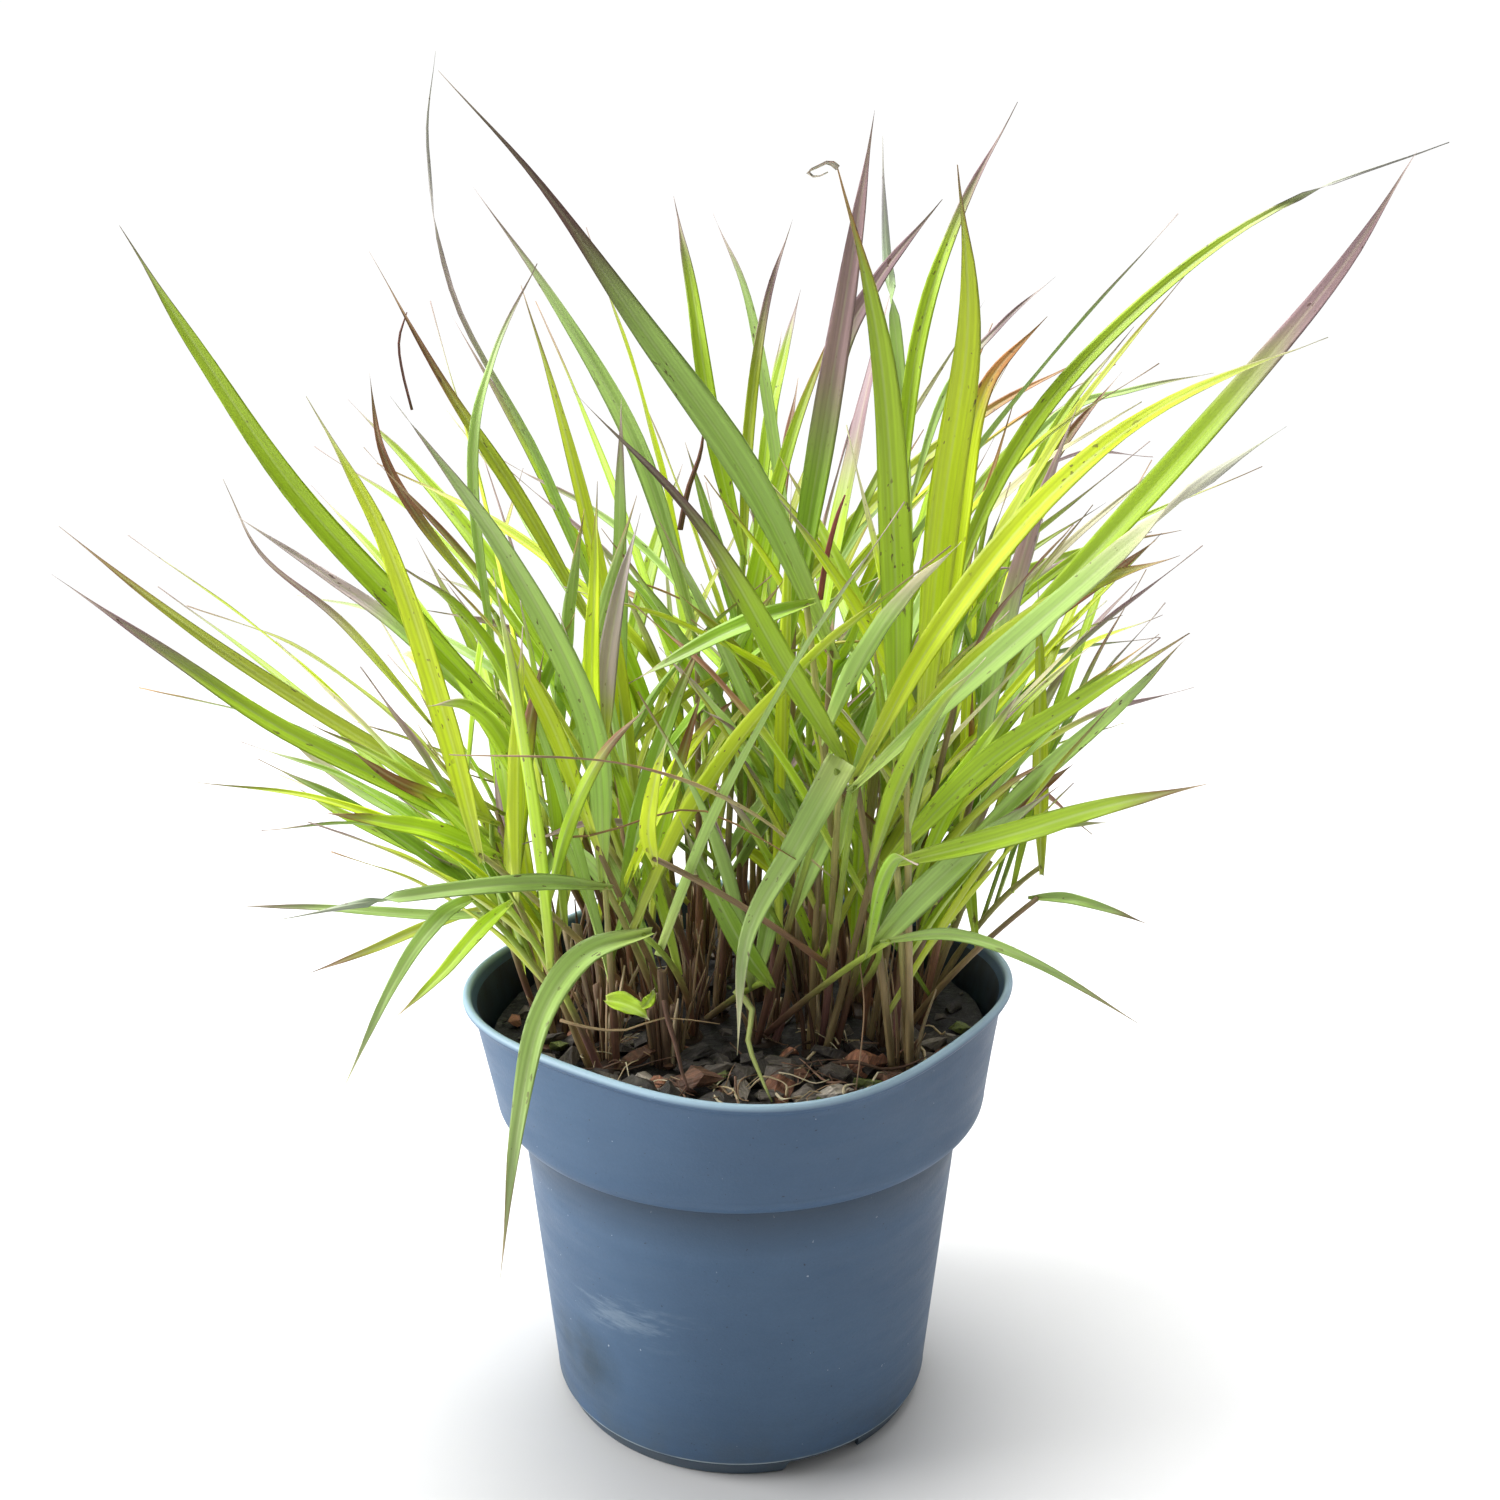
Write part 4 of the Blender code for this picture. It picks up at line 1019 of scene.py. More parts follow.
def potMaterial():
    # Moulded slate blue plastic with scuffs, water marks and dust low down, painted shade under the band and
    # painted highlights on the lip and the seam.
    n = newMaterial("slate blue pot plastic")
    where = n.where()
    cloud = n.noise(where, 16.0, 4.0)
    colour = n.blend(n.between(cloud, 0.3, 0.7), linear(60, 86, 115), linear(68, 95, 124))
    fine = n.noise(where, 950.0, 3.0)
    colour = n.blend(0.25, colour, n.between(fine, 0.3, 0.7, 0.86, 1.14), "MULTIPLY")
    streaky = n.noise(n.scaled(where, (26.0, 26.0, 150.0)), 1.0, 6.0, 0.7)
    scuff = n.times(n.between(streaky, 0.60, 0.72), n.between(n.noise(where, 9.0, 3.0), 0.52, 0.64))
    colour = n.blend(n.times(scuff, 0.13), colour, linear(134, 150, 165))
    for spot in potMarks:
        colour = n.blend(markMask(n, where, streaky, spot), colour, linear(*spot["colour"]))
    speck = n.noise(where, 620.0, 2.0)
    colour = n.blend(n.times(n.between(speck, 0.73, 0.75), 0.75), colour, linear(34, 40, 48))
    fluff = n.noise(n.scaled(where, (1.0, 1.0, 0.6)), 520.0, 2.0)
    colour = n.blend(n.times(n.between(fluff, 0.765, 0.78), 0.5), colour, linear(190, 202, 212))
    colour = paintedEdgeLightAndGrime(n, where, n.axes(where)["Z"], colour)
    n.bump(n.math("ADD", n.times(fine, 0.5), n.times(cloud, 2.0)), 0.16, 1.2 * mm)
    return n.finish(colour, roughness=n.between(streaky, 0.3, 0.7, 0.43, 0.60), specular=0.42)


def paintedEdgeLightAndGrime(n, where, height, colour):
    # Painted shade under the band, a painted highlight along the seam over a dark foot, a painted highlight
    # on the rolled lip, and grime low down.
    crease = pot["height"] - pot["bandHeight"] - finePot["shoulder"]
    # Painted shade: the body just under the band is darkened where the band's shadow falls.
    above = n.between(height, crease - 0.5 * mm, crease + 2.5 * mm, 1.0, 0.0)
    below = n.between(height, crease - 22 * mm, crease - 2 * mm)
    colour = n.blend(n.times(n.times(above, below), 0.62), colour, linear(28, 40, 52))
    # Painted highlight: a pale line along the step at the foot, where light catches the edge, broken up by
    # noise.
    seamHighlight = n.times(n.between(height, 7.6 * mm, 7.9 * mm), n.between(height, 8.4 * mm, 8.8 * mm, 1.0, 0.0))
    colour = n.blend(n.between(height, 7.4 * mm, 8.0 * mm, 0.55, 0.0), colour, linear(44, 54, 56))
    patchy = n.between(n.noise(where, 45.0, 3.0), 0.35, 0.5, 0.1, 0.8)
    colour = n.blend(n.times(seamHighlight, patchy), colour, linear(176, 190, 196))
    # Painted highlight: the top of the rolled lip is paler, where light catches it.
    lip = n.between(height, pot["height"] - 2.4 * mm, pot["height"] - 0.9 * mm, 0.0, 0.8)
    colour = n.blend(lip, colour, linear(166, 194, 212))
    low = n.between(height, 0.0, 35 * mm, 0.55, 0.0)
    grime = n.times(low, n.between(n.noise(where, 60.0, 5.0), 0.35, 0.7))
    return n.blend(grime, colour, linear(70, 78, 76))


potMarks = [
    {  # the rubbed patch low on the front
        "at": (-46 * mm, -78 * mm, 72 * mm),
        "size": (40 * mm, 60 * mm, 15 * mm),
        "colour": (137, 155, 170),
        "streaky": True,
        "strength": 0.42,
    },
    {  # a darker water stain near the foot
        "at": (-66 * mm, -54 * mm, 40 * mm),
        "size": (24 * mm, 34 * mm, 22 * mm),
        "colour": (40, 60, 74),
        "streaky": False,
        "strength": 0.75,
    },
]


def markMask(n, where, streaky, spot):
    # Strongest at the mark's middle and 0 at its edge, broken up by streaks or by patches.
    offset = n.vector("SUBTRACT", where, spot["at"])
    reach = n.vector("LENGTH", n.vector("DIVIDE", offset, spot["size"]))
    mask = n.between(reach, 0.35, 1.0, spot["strength"], 0.0)
    if spot["streaky"]:
        return n.times(mask, n.between(streaky, 0.48, 0.62))
    return n.times(mask, n.between(n.noise(where, 70.0, 3.0), 0.3, 0.6, 0.4, 1.0))


# The blades.

blade = {
    "stations": 26,
    "across": (-1.0, -0.72, -0.38, -0.12, 0.0, 0.12, 0.38, 0.72, 1.0),
    "thickness": 0.34 * mm,
    "foldFoot": math.radians(62),  # how far the blade folds up round its stem
    "foldTop": math.radians(19),
    "twist": math.radians(24),
    "ripple": 0.35 * mm,
    "dim": (0.74, 1.12),  # how dark or bright one may be
    "underside": (150, 158, 158),
    "seed": 700,
}

# Across the blade's top, and back under it.
bladeSpans = blade["across"] + tuple(a for a in blade["across"][::-1] if abs(a) < 0.9)

tones = {
    "bright": ((218, 230, 104), (212, 232, 30), (192, 212, 36)),
    "green": ((202, 224, 90), (178, 212, 40), (160, 186, 48)),
    "glaucous": ((198, 218, 122), (174, 208, 108), (164, 188, 120)),
    "deep": ((170, 196, 70), (140, 180, 40), (128, 156, 52)),
    "olive": ((196, 204, 92), (176, 190, 46), (162, 164, 56)),
    "dry": ((190, 176, 128), (176, 158, 104), (150, 128, 88)),
}

tips = {
    "purple": (160, 130, 134),
    "mauve": (186, 168, 166),
    "brown": (138, 92, 62),
    "rust": (172, 116, 60),
    "pale": (204, 196, 156),
    "dark": (112, 86, 78),
}

# How the leaves of the picture are coloured: tone, tip colour, and where the tip begins.
seenTones = {
    "leftTall": ("green", "dark", 0.97), "leftFarUpper": ("olive", "brown", 0.8),
    "leftFarLower": ("green", "purple", 0.72), "leftPaleUnder": ("glaucous", "pale", 0.7),
    "leftBrownTip": ("olive", "brown", 0.45), "leftShort": ("green", "brown", 0.9),
    "leftOlive": ("green", "brown", 0.8), "leftFlat": ("glaucous", "dark", 0.75),
    "leftFlatFront": ("glaucous", "pale", 0.9), "leftLowPale": ("olive", "brown", 0.75),
    "leftDroop": ("glaucous", "pale", 0.95), "leftDown": ("green", "brown", 0.9),
    "frontDroop": ("glaucous", "brown", 0.96), "leftThread": ("olive", "dark", 0.3),
    "leftPurple": ("glaucous", "mauve", 0.4), "leftBrownArc": ("olive", "brown", 0.62),
    "tallThread": ("glaucous", "mauve", 0.35), "tallBroad": ("glaucous", "dark", 0.56),
    "greyArc": ("glaucous", "purple", 0.8), "crossing": ("glaucous", "purple", 0.8),
    "redTip": ("olive", "brown", 0.25), "leftBright": ("bright", "pale", 0.95),
    "leftMiddle": ("green", "purple", 0.92), "bentBroad": ("glaucous", "purple", 0.95),
    "innerBright": ("bright", "pale", 0.95), "topSpearA": ("green", "purple", 0.8),
    "topSpearB": ("glaucous", "purple", 0.8), "topSpearC": ("olive", "purple", 0.6),
    "topSpearD": ("green", "purple", 0.75), "topPurple": ("deep", "purple", 0.34),
    "topBrownTip": ("green", "rust", 0.9), "topNeedle": ("glaucous", "purple", 0.7),
    "topSidePurple": ("deep", "purple", 0.42), "topGreyTip": ("green", "purple", 0.7),
    "topBroad": ("bright", "brown", 0.96), "topThinSide": ("glaucous", "purple", 0.5),
    "orangeEdge": ("bright", "rust", 0.62), "rightArc": ("green", "purple", 0.8),
    "rightPurple": ("green", "purple", 0.52), "rightYellow": ("bright", "pale", 0.97),
    "rightThinUpper": ("glaucous", "pale", 0.8), "rightGlaucous": ("glaucous", "pale", 0.6),
    "rightOlive": ("olive", "brown", 0.85), "rightBrownish": ("olive", "brown", 0.2),
    "rightLowA": ("green", "brown", 0.9), "rightLowB": ("glaucous", "brown", 0.9),
    "rightFlat": ("green", "brown", 0.82), "rightFlatBack": ("green", "pale", 0.8),
    "rightUpright": ("bright", "purple", 0.95), "rightInner": ("green", "purple", 0.8),
    "rightBrownShort": ("olive", "brown", 0.1), "rightDroop": ("glaucous", "brown", 0.85),
    "rightDroopShort": ("glaucous", "brown", 0.8), "rightDiagonal": ("glaucous", "purple", 0.9),
    "frontFolded": ("glaucous", "pale", 0.85), "frontShort": ("deep", "purple", 0.85),
    "frontBrownTip": ("green", "dark", 0.60), "frontLevel": ("deep", "brown", 0.97),
    "innerPurple": ("olive", "mauve", 0.2), "innerUpright": ("bright", "brown", 0.95),
    "rightSpray": ("green", "purple", 0.85), "frontNewShoot": ("bright", "pale", 0.95),
    "backSpray": ("green", "purple", 0.85), "backLeft": ("glaucous", "purple", 0.85),
    "backRight": ("green", "purple", 0.8), "leftLowThin": ("green", "purple", 0.85),
}

# Leaves that turn over: where along them, how quickly, and which way.
turnedOver = {
    "rightArc": (0.80, 0.05, 1), "bentBroad": (0.93, 0.03, -1), "tallThread": (0.62, 0.10, 1),
    "rightGlaucous": (0.70, 0.14, -1), "leftFlatFront": (0.72, 0.06, 1), "topNeedle": (0.5, 0.1, 1),
}

# Leaves that are much slimmer towards the tip: from where, to where, and by what part.
slimTop = {
    "tallBroad": (0.28, 0.85, 0.62), "tallThread": (0.10, 0.40, 0.58), "frontBrownTip": (0.30, 0.85, 0.50),
    "leftBrownArc": (0.35, 0.85, 0.35), "greyArc": (0.40, 0.90, 0.35), "leftThread": (0.2, 0.6, 0.35),
}

# Leaves by chance that come to the front, by number: their look, and what part of the width stays.
quietLeaves = {
    94: (("green", "pale", 0.95), 0.80),
    101: (("deep", "purple", 0.85), 0.62),
    103: (("dry", "brown", 0.50), 0.22),
}


def chanceTones(dice):
    # What a leaf that no pixel places is coloured like.
    tone = dice.choices(("bright", "green", "glaucous", "deep", "olive"), (20, 32, 22, 16, 10))[0]
    tip = dice.choices(("purple", "brown", "rust", "pale"), (40, 30, 10, 20))[0]
    return tone, tip, dice.choice((0.45, 0.65, 0.8, 0.88, 0.94, 0.97))


def bladeTone(look, share, across, dim):
    # The colour at one place of a blade. The tip's colour reaches further down at the edges.
    tone, tip, tipStart = look
    foot, middle, top = (linear(*c) for c in tones[tone])
    colour = foot.lerp(middle, step(0.0, 0.22, share)).lerp(top, step(0.45, 1.0, share))
    edge = abs(across) ** 3 * 0.12 * step(0.3, 0.9, share)
    toTip = step(tipStart - 0.12, min(1.0, tipStart + 0.16), share + edge)
    return colour.lerp(linear(*tips[tip]), toTip) * dim


def bladeHalf(width, share, name):
    # Half the blade's width. The tip draws out to a thread.
    half = width / 2 * (1.04 - share**1.5 if name == "frontFolded" else leafWidth(share))
    half *= 1 - 0.55 * step(0.78, 0.97, share)
    if name in slimTop:
        low, high, part = slimTop[name]
        half *= 1 - part * step(low, high, share)
    return half


def bladeSection(middle, side, normal, half, fold, share, phase):
    # The corners of a shallow channel, over its top and back under it.
    thick = blade["thickness"] * (1 - 0.6 * share)
    upper, lower = [], []
    for across in blade["across"]:
        wave = blade["ripple"] * across * math.sin(phase + across) * step(0.1, 0.4, share)
        spot = middle + side * half * across * math.cos(fold)
        spot += normal * (half * abs(across) ** 1.3 * math.sin(fold) + wave - 0.4 * mm)
        upper.append(spot)
        if abs(across) < 0.9:
            lower.append(spot - normal * thick * (1.9 if across == 0 else 1.0))
    return upper + lower[::-1]


def fineBlade(growth, points, facing, width, look, dice, name="free"):
    # One leaf: it clasps its stem, opens into a shallow channel and ends in a fine point.
    folded, over = name == "frontFolded", turnedOver.get(name)
    twist = dice.uniform(-1, 1) * blade["twist"] * (0.2 if folded else 1.0)
    phase, waves = dice.uniform(0, 6.28), dice.uniform(2.0, 4.5)
    chance, dim = dice.random(), dice.uniform(*blade["dim"])
    length = sum((smooth(points, (i + 1) / 12) - smooth(points, i / 12)).length for i in range(12))
    rings = []
    for i in range(blade["stations"]):
        share = i / (blade["stations"] - 1) * 0.996
        middle, side, normal = leafFrame(points, facing, share)
        under = step(over[0] - over[1], over[0] + over[1], share) if over else 0.0
        angle = twist * step(0.15, 1.0, share) + (over[2] * math.pi * under if over else 0.0)
        turn = Matrix.Rotation(angle, 3, normal.cross(side))
        opening = 0 if folded else (1 - share) ** 5
        fold = blade["foldTop"] + (blade["foldFoot"] - blade["foldTop"]) * opening
        half = bladeHalf(width, share, name)
        ripple = phase + waves * 6.28 * share
        loop = bladeSection(middle, turn @ side, turn @ normal, half, fold, share, ripple)
        hues = [bladeTone(look, share, a, dim) for a in bladeSpans]
        hues = [hue.lerp(linear(*blade["underside"]), 0.6 * under) for hue in hues]
        rings.append(growth.ring(loop, hues, [(share * length, a * half, chance) for a in bladeSpans]))
    growth.skin(rings)


# The green stems, wrapped in their sheaths.

stalk = {
    "rings": 15,
    "sides": 9,
    "footTones": ((172, 126, 100), (150, 108, 100), (178, 150, 110), (168, 146, 104), (134, 98, 82)),
    "topTones": ((170, 192, 76), (152, 176, 68), (178, 172, 104), (150, 128, 94)),
    "thin": 0.84,
    "joint": 42 * mm,  # from one swollen joint to the next
}


def acrossOf(along, near):
    # Two directions square to a stem.
    side = along.cross(Vector(near)).normalized()
    return side, along.cross(side)


def fineStem(growth, path, dice):
    # A tiller wrapped in its sheaths, brown to purple at the foot and green above.
    foot, top = linear(*dice.choice(stalk["footTones"])), linear(*dice.choice(stalk["topTones"]))
    fade, chance = dice.uniform(0.45, 1.0), dice.random()
    length, offset = (path[2] - path[0]).length, dice.random()
    turns = [2 * math.pi * k / stalk["sides"] for k in range(stalk["sides"])]
    rings = []
    for i in range(stalk["rings"]):
        share = i / (stalk["rings"] - 1)
        middle = stemPoint(path, share)
        along = (stemPoint(path, min(1, share + 0.03)) - stemPoint(path, max(0, share - 0.03))).normalized()
        side, other = acrossOf(along, (0.2, 1, 0.1))
        joint = (share * length / stalk["joint"] + offset) % 1.0
        swell = 1 + 0.16 * math.exp(-((min(joint, 1 - joint) / 0.06) ** 2)) + 0.12 * joint
        radius = stemRadius(share) * stalk["thin"] * swell
        tone = foot.lerp(top, step(0.2, fade, share)) * (0.75 + 0.3 * joint)
        points = [middle + (side * math.cos(t) * 1.05 + other * math.sin(t) * 0.95) * radius for t in turns]
        places = [(share * length, math.sin(t) + math.cos(t), chance) for t in turns]
        rings.append(growth.ring(points, [tone] * len(turns), places))
    growth.skin(rings, 1)


# Short dry sheaths round the foot of a tuft, and other dead scraps.
sheathScale = {
    "perTuft": 11,
    "lengths": (14 * mm, 52 * mm),
    "widths": (1.8 * mm, 3.6 * mm),
    "tones": ((176, 150, 116), (150, 122, 94), (128, 100, 78), (198, 178, 144), (108, 82, 66)),
}


def dryStrip(growth, points, width, tone, dice, mat=1):
    # A dead scrap of leaf or sheath: a thin closed strip along smooth points.
    chance, rings = dice.random(), []
    facing = Vector((dice.uniform(-1, 1), dice.uniform(-1, 1), dice.uniform(0.3, 1))).normalized()
    for i in range(9):
        share = i / 8
        middle, side, normal = leafFrame(points, facing, share)
        half = side * (width / 2 * (1 - 0.75 * share**2))
        thick = normal * 0.25 * mm
        places = [(share * 0.03, a, chance) for a in (-1, 0, 1, 0)]
        loop = [middle - half, middle - thick, middle + half, middle + thick]
        rings.append(growth.ring(loop, [tone * (0.85 + 0.3 * share)] * 4, places))
    growth.skin(rings, mat)


def basalScales(growth, spot, dice):
    base = spot + raised(soil["top"] + mulch["thickness"] - 3 * mm)
    for _ in range(sheathScale["perTuft"]):
        out = heading(dice.uniform(0, 2 * math.pi))
        reach = dice.uniform(*sheathScale["lengths"])
        foot = base + out * dice.uniform(2, 6.5) * mm
        lean = out * reach * dice.uniform(0.02, 0.35)
        lean += Vector((dice.gauss(0, 1), dice.gauss(0, 1), 0)) * 1.5 * mm
        points = [foot, foot + lean * 0.3 + raised(reach * 0.5), foot + lean + raised(reach)]
        width = dice.uniform(*sheathScale["widths"])
        dryStrip(growth, points, width, linear(*dice.choice(sheathScale["tones"])), dice)


# Last year's cut stems and the crowns that all the stems come out of.
oldStalk = {
    "tones": ((170, 148, 118), (146, 126, 102), (188, 168, 134), (126, 102, 82)),
    "sides": 11,
    "rings": 9,
}


def fineStub(growth, foot, top, radius, dice):
    # A cut stem: ridged outside, hollow at its ragged end.
    tone, chance = linear(*dice.choice(oldStalk["tones"])), dice.random()
    length, along = (top - foot).length, (top - foot).normalized()
    side, other = acrossOf(along, (0.1, 1, 0))
    slant = (dice.uniform(-1, 1), dice.uniform(-1, 1))
    last = oldStalk["rings"] - 1
    levels = [(i / last, 1.0) for i in range(oldStalk["rings"])] + [(1.0, 0.62), (0.93, 0.5)]
    rings = []
    for number, (share, hollow) in enumerate(levels):
        points, places = [], []
        # Painted shade: the stub is darker towards its foot, and the inside of its hollow end is much
        # darker.
        shade = (0.72 + 0.38 * share) * (0.35 if number == len(levels) - 1 else 1.0)
        for k in range(oldStalk["sides"]):
            turn = 2 * math.pi * k / oldStalk["sides"]
            across = math.cos(turn) * side + math.sin(turn) * other
            rib = 1 + 0.09 * math.sin(turn * 5 + chance * 9) + 0.05 * math.sin(share * 30 + turn * 2)
            cut = (slant[0] * math.cos(turn) + slant[1] * math.sin(turn)) * 1.3 * mm * (share > 0.9)
            rise = along * (share * length + cut)
            points.append(foot + rise + across * radius * rib * hollow * (1 - 0.12 * share))
            places.append((share * length, math.sin(turn), chance))
        rings.append(growth.ring(points, [tone * shade] * len(points), places))
    growth.skin(rings, 1)


def crownMound(growth, spot, radius, dice):
    # The crown that the stems come out of, sunk in its hole.
    tone, chance, count = linear(62, 46, 36), dice.random(), 14
    rings = []
    for share, height in ((0.9, -20), (1.0, -8), (1.0, 3.2), (0.84, 4.6), (0.4, 5.8)):
        points = []
        for i, p in enumerate(circle(radius * share, count, 0)):
            uneven = p * (1 + 0.06 * math.sin(i * 2.6 + chance * 7)) + raised(0.5 * mm * math.sin(i * 1.9))
            points.append(spot + uneven + raised(soil["top"] + height * mm))
        places = [(height * mm, i / 3, chance) for i in range(count)]
        rings.append(growth.ring(points, [tone] * count, places))
    growth.skin(rings, 1)


# Lower leaves that only the finished plant has.
extraLeaf = {
    "perStem": 2,
    "tries": 9,
    "proud": 12 * mm,  # how far one may pass its node's own box
    "front": -58 * mm,  # nearer than this, every leaf is one that the picture shows
    "lengths": (70 * mm, 175 * mm),
    "widths": (4.5 * mm, 9.5 * mm),
}


def extraFits(points, width, low, high):
    # True where a leaf stays by its node's box, in the plant's outline and off the pot.
    proud = extraLeaf["proud"]
    if any(not low[i] - proud < p[i] < high[i] + proud for p in points for i in range(3)):
        return False
    if any(p.y <= extraLeaf["front"] for p in points) or nearRim(points, width):
        return False
    return all(insideOutline(point) for point in points[1:])


def fillMiddle(growth, path, low, high, dice):
    # Up to two more leaves on a stem, where they don't change the plant's outline.
    grown = 0
    for _ in range(extraLeaf["tries"]):
        root = stemPoint(path, dice.uniform(0.18, 0.85))
        length, turn = dice.uniform(*extraLeaf["lengths"]), dice.uniform(0, 2 * math.pi)
        lean, bend = dice.uniform(0.1, 0.65), dice.uniform(0.1, 0.9)
        flat = heading(turn)
        points = archedLine(root, flat, lean, bend, length)
        width = dice.uniform(*extraLeaf["widths"])
        facing = facingUp(flat, dice.uniform(-0.9, 0.9))
        if grown < extraLeaf["perStem"] and extraFits(points, width, low, high):
            grown += 1
            fineBlade(growth, points, facing, width, chanceTones(dice), dice)


def growOldCrown(growth, number, spot, dice):
    crownMound(growth, spot, crown["stubRadius"], dice)
    for foot, top, _ in stubLines(number, spot):
        fineStub(growth, foot, top, stub["radius"], dice)
    basalScales(growth, spot, dice)


def growTuft(growth, number, spot, stems, leaves, node, dice):
    # One crown with its sheaths, its stems and their leaves.
    crownMound(growth, spot, crown["radius"], dice)
    basalScales(growth, spot, dice)
    paths = [path for home, path, _, _ in stems if home == number]
    for path in paths:
        fineStem(growth, path, dice)
    for leafNumber, (home, points, facing, width, name) in enumerate(leaves):
        if home == number:
            look = seenTones[name] if name in seenTones else chanceTones(dice)
            look, part = quietLeaves.get(leafNumber, (look, 1.0))
            fineBlade(growth, points, facing, width * part, look, dice, name)
    low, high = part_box(node)
    for path in paths:
        fillMiddle(growth, path, low, high, dice)


def dressPlant(places, bladeFinish, stalkFinish, oldFinish):
    # Each tuft and each old crown becomes one fine piece in its node's place.
    stems, leaves = plantPieces(places, [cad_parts["pot"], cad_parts["bark_mulch"]])
    leafy = old = 0
    for number, (spot, isStub) in enumerate(places):
        growth, dice = Growth(), random.Random(blade["seed"] + number)
        if isStub:
            old += 1
            growOldCrown(growth, number, spot, dice)
            growth.make(f"cutStems{old:02d}", [bladeFinish, oldFinish], "old_stems", f"old_stems_{old:02d}")
        else:
            leafy += 1
            node = f"tuft_{leafy:02d}"
            growTuft(growth, number, spot, stems, leaves, node, dice)
            growth.make(f"leafyTuft{leafy:02d}", [bladeFinish, stalkFinish], "leaves", node)
    print("plant:", leafy, "tufts,", old, "old crowns,", len(stems), "stems,", len(leaves), "leaves")


# The bark bed.

chipLook = {
    "tones": (
        (88, 80, 73),
        (124, 115, 106),
        (58, 52, 48),
        (164, 154, 143),
        (146, 98, 74),
        (112, 78, 60),
        (102, 112, 54),
    ),
    "weights": (24, 16, 28, 8, 9, 9, 6),
    "front": 60,
    "frontSizes": (7.0 * mm, 13.0 * mm),
    "frontSeed": 19,
    "small": 70,
    "crumbs": 110,
    "smallSeed": 31,
    "flakeSeed": 5,  # the roughness comes from a noise that has its own seed
}


def chipTone(dice, darkest, brightest):
    tone = dice.choices(chipLook["tones"], chipLook["weights"])[0]
    return linear(*tone) * dice.uniform(darkest, brightest)


def fineChip(growth, solid, dice, rough):
    # Roughens a chip's hull into flaky bark.
    bmesh.ops.subdivide_edges(solid, edges=solid.edges, cuts=2, use_grid_fill=True)
    bmesh.ops.triangulate(solid, faces=solid.faces)
    tone = chipTone(dice, 0.75, 1.3)
    chance, turn = dice.random(), dice.uniform(0, math.pi)
    for v in solid.verts:
        drift = noise.noise_vector(v.co * 260) * rough + noise.noise_vector(v.co * 900) * rough * 0.45
        v.co = v.co + drift

    def placeOf(spot):
        along = spot.x * math.cos(turn) + spot.y * math.sin(turn)
        across = -spot.x * math.sin(turn) + spot.y * math.cos(turn)
        return along, across + spot.z * 0.8, chance

    growth.gather(solid, tone, placeOf)


def coverFront(growth, places, dice, low, high):
    # Large chips over the bare ground at the front, lapping one another.
    laid = []
    for _ in range(3000):
        if len(laid) == chipLook["front"]:
            break
        size, turn = dice.uniform(*chipLook["frontSizes"]), dice.uniform(-2.9, -0.25)
        limit = wallReach(turn, high, 4.6 * mm) - size * 1.05
        spot = heading(turn) * limit * math.sqrt(dice.uniform(0.2, 1.0))
        if any((spot - place).length < 7 * mm + size * 0.6 for place, _ in places):
            continue
        if any((spot - other).length < (size + reach) * 0.52 for other, reach in laid):
            continue
        laid.append((spot, size))
        middle = spot + raised(high + size * dice.uniform(0.05, 0.62))
        chip = barkChip(dice, middle, size, low + 0.5 * mm)
        lean = Matrix.Rotation(dice.gauss(0, 0.42), 3, "X") @ Matrix.Rotation(dice.gauss(0, 0.5), 3, "Z")
        for v in chip.verts:  # broader than deep, and thin
            away = v.co - middle
            v.co = middle + lean @ Vector((away.x * 1.22, away.y * 0.8, away.z * 0.85))
        fineChip(growth, chip, dice, 0.8 * mm)


def scatterSmall(growth, places, dice, high, count, sizes, finish):
    # Small pieces everywhere that a stem doesn't stand, each finished in its own way.
    for _ in range(count):
        size = dice.uniform(*sizes) * mm
        turn, reach = dice.uniform(0, 2 * math.pi), math.sqrt(dice.random())
        radius = reach * (wallReach(turn, high, 4.6 * mm) - size)
        level = high + size * dice.uniform(0.0, 0.8)
        spot = Vector((radius * math.cos(turn), radius * math.sin(turn), level))
        if not any((spot.xy - place.xy).length < 6 * mm for place, _ in places):
            finish(growth, barkChip(dice, spot, size, high - 3 * mm), dice)


def smallChip(growth, solid, dice):
    fineChip(growth, solid, dice, 0.5 * mm)


def crumb(growth, solid, dice):
    growth.gather(solid, chipTone(dice, 0.6, 1.4), lambda spot: (spot.x, spot.y, 0.3))


def mulchGround(growth, low, high):
    # The lumpy ground under the chips, out to the pot's wall: nearly black, for dark soil and painted shade
    # in the gaps between chips.
    count, rings = 72, []
    for share in (1.0, 1.0, 0.985, 0.93, 0.86, 0.78, 0.7, 0.6, 0.5, 0.4, 0.3, 0.2, 0.1, 0.03):
        level = low if not rings else high - (2.2 * mm if len(rings) == 1 else 0)
        sunk = 0.8 * mm if rings else 0
        points = []
        for p in circle(wallRadius(level, pot["wall"] + gap + 1.2 * mm) * share, count, level):
            lump = noise.noise(Vector((p.x, p.y, 0)) * 130) * 1.8 * mm if len(rings) > 1 else 0
            points.append(Vector((p.x * squareAt(p), p.y * squareAt(p), p.z - sunk + lump)))
        # Painted shade: the ground's near black tone stands in for the deep shade between the chips.
        rings.append(growth.ring(points, [linear(20, 16, 14)] * count, [(p.x, p.y, 0.5) for p in points]))
    growth.skin(rings)


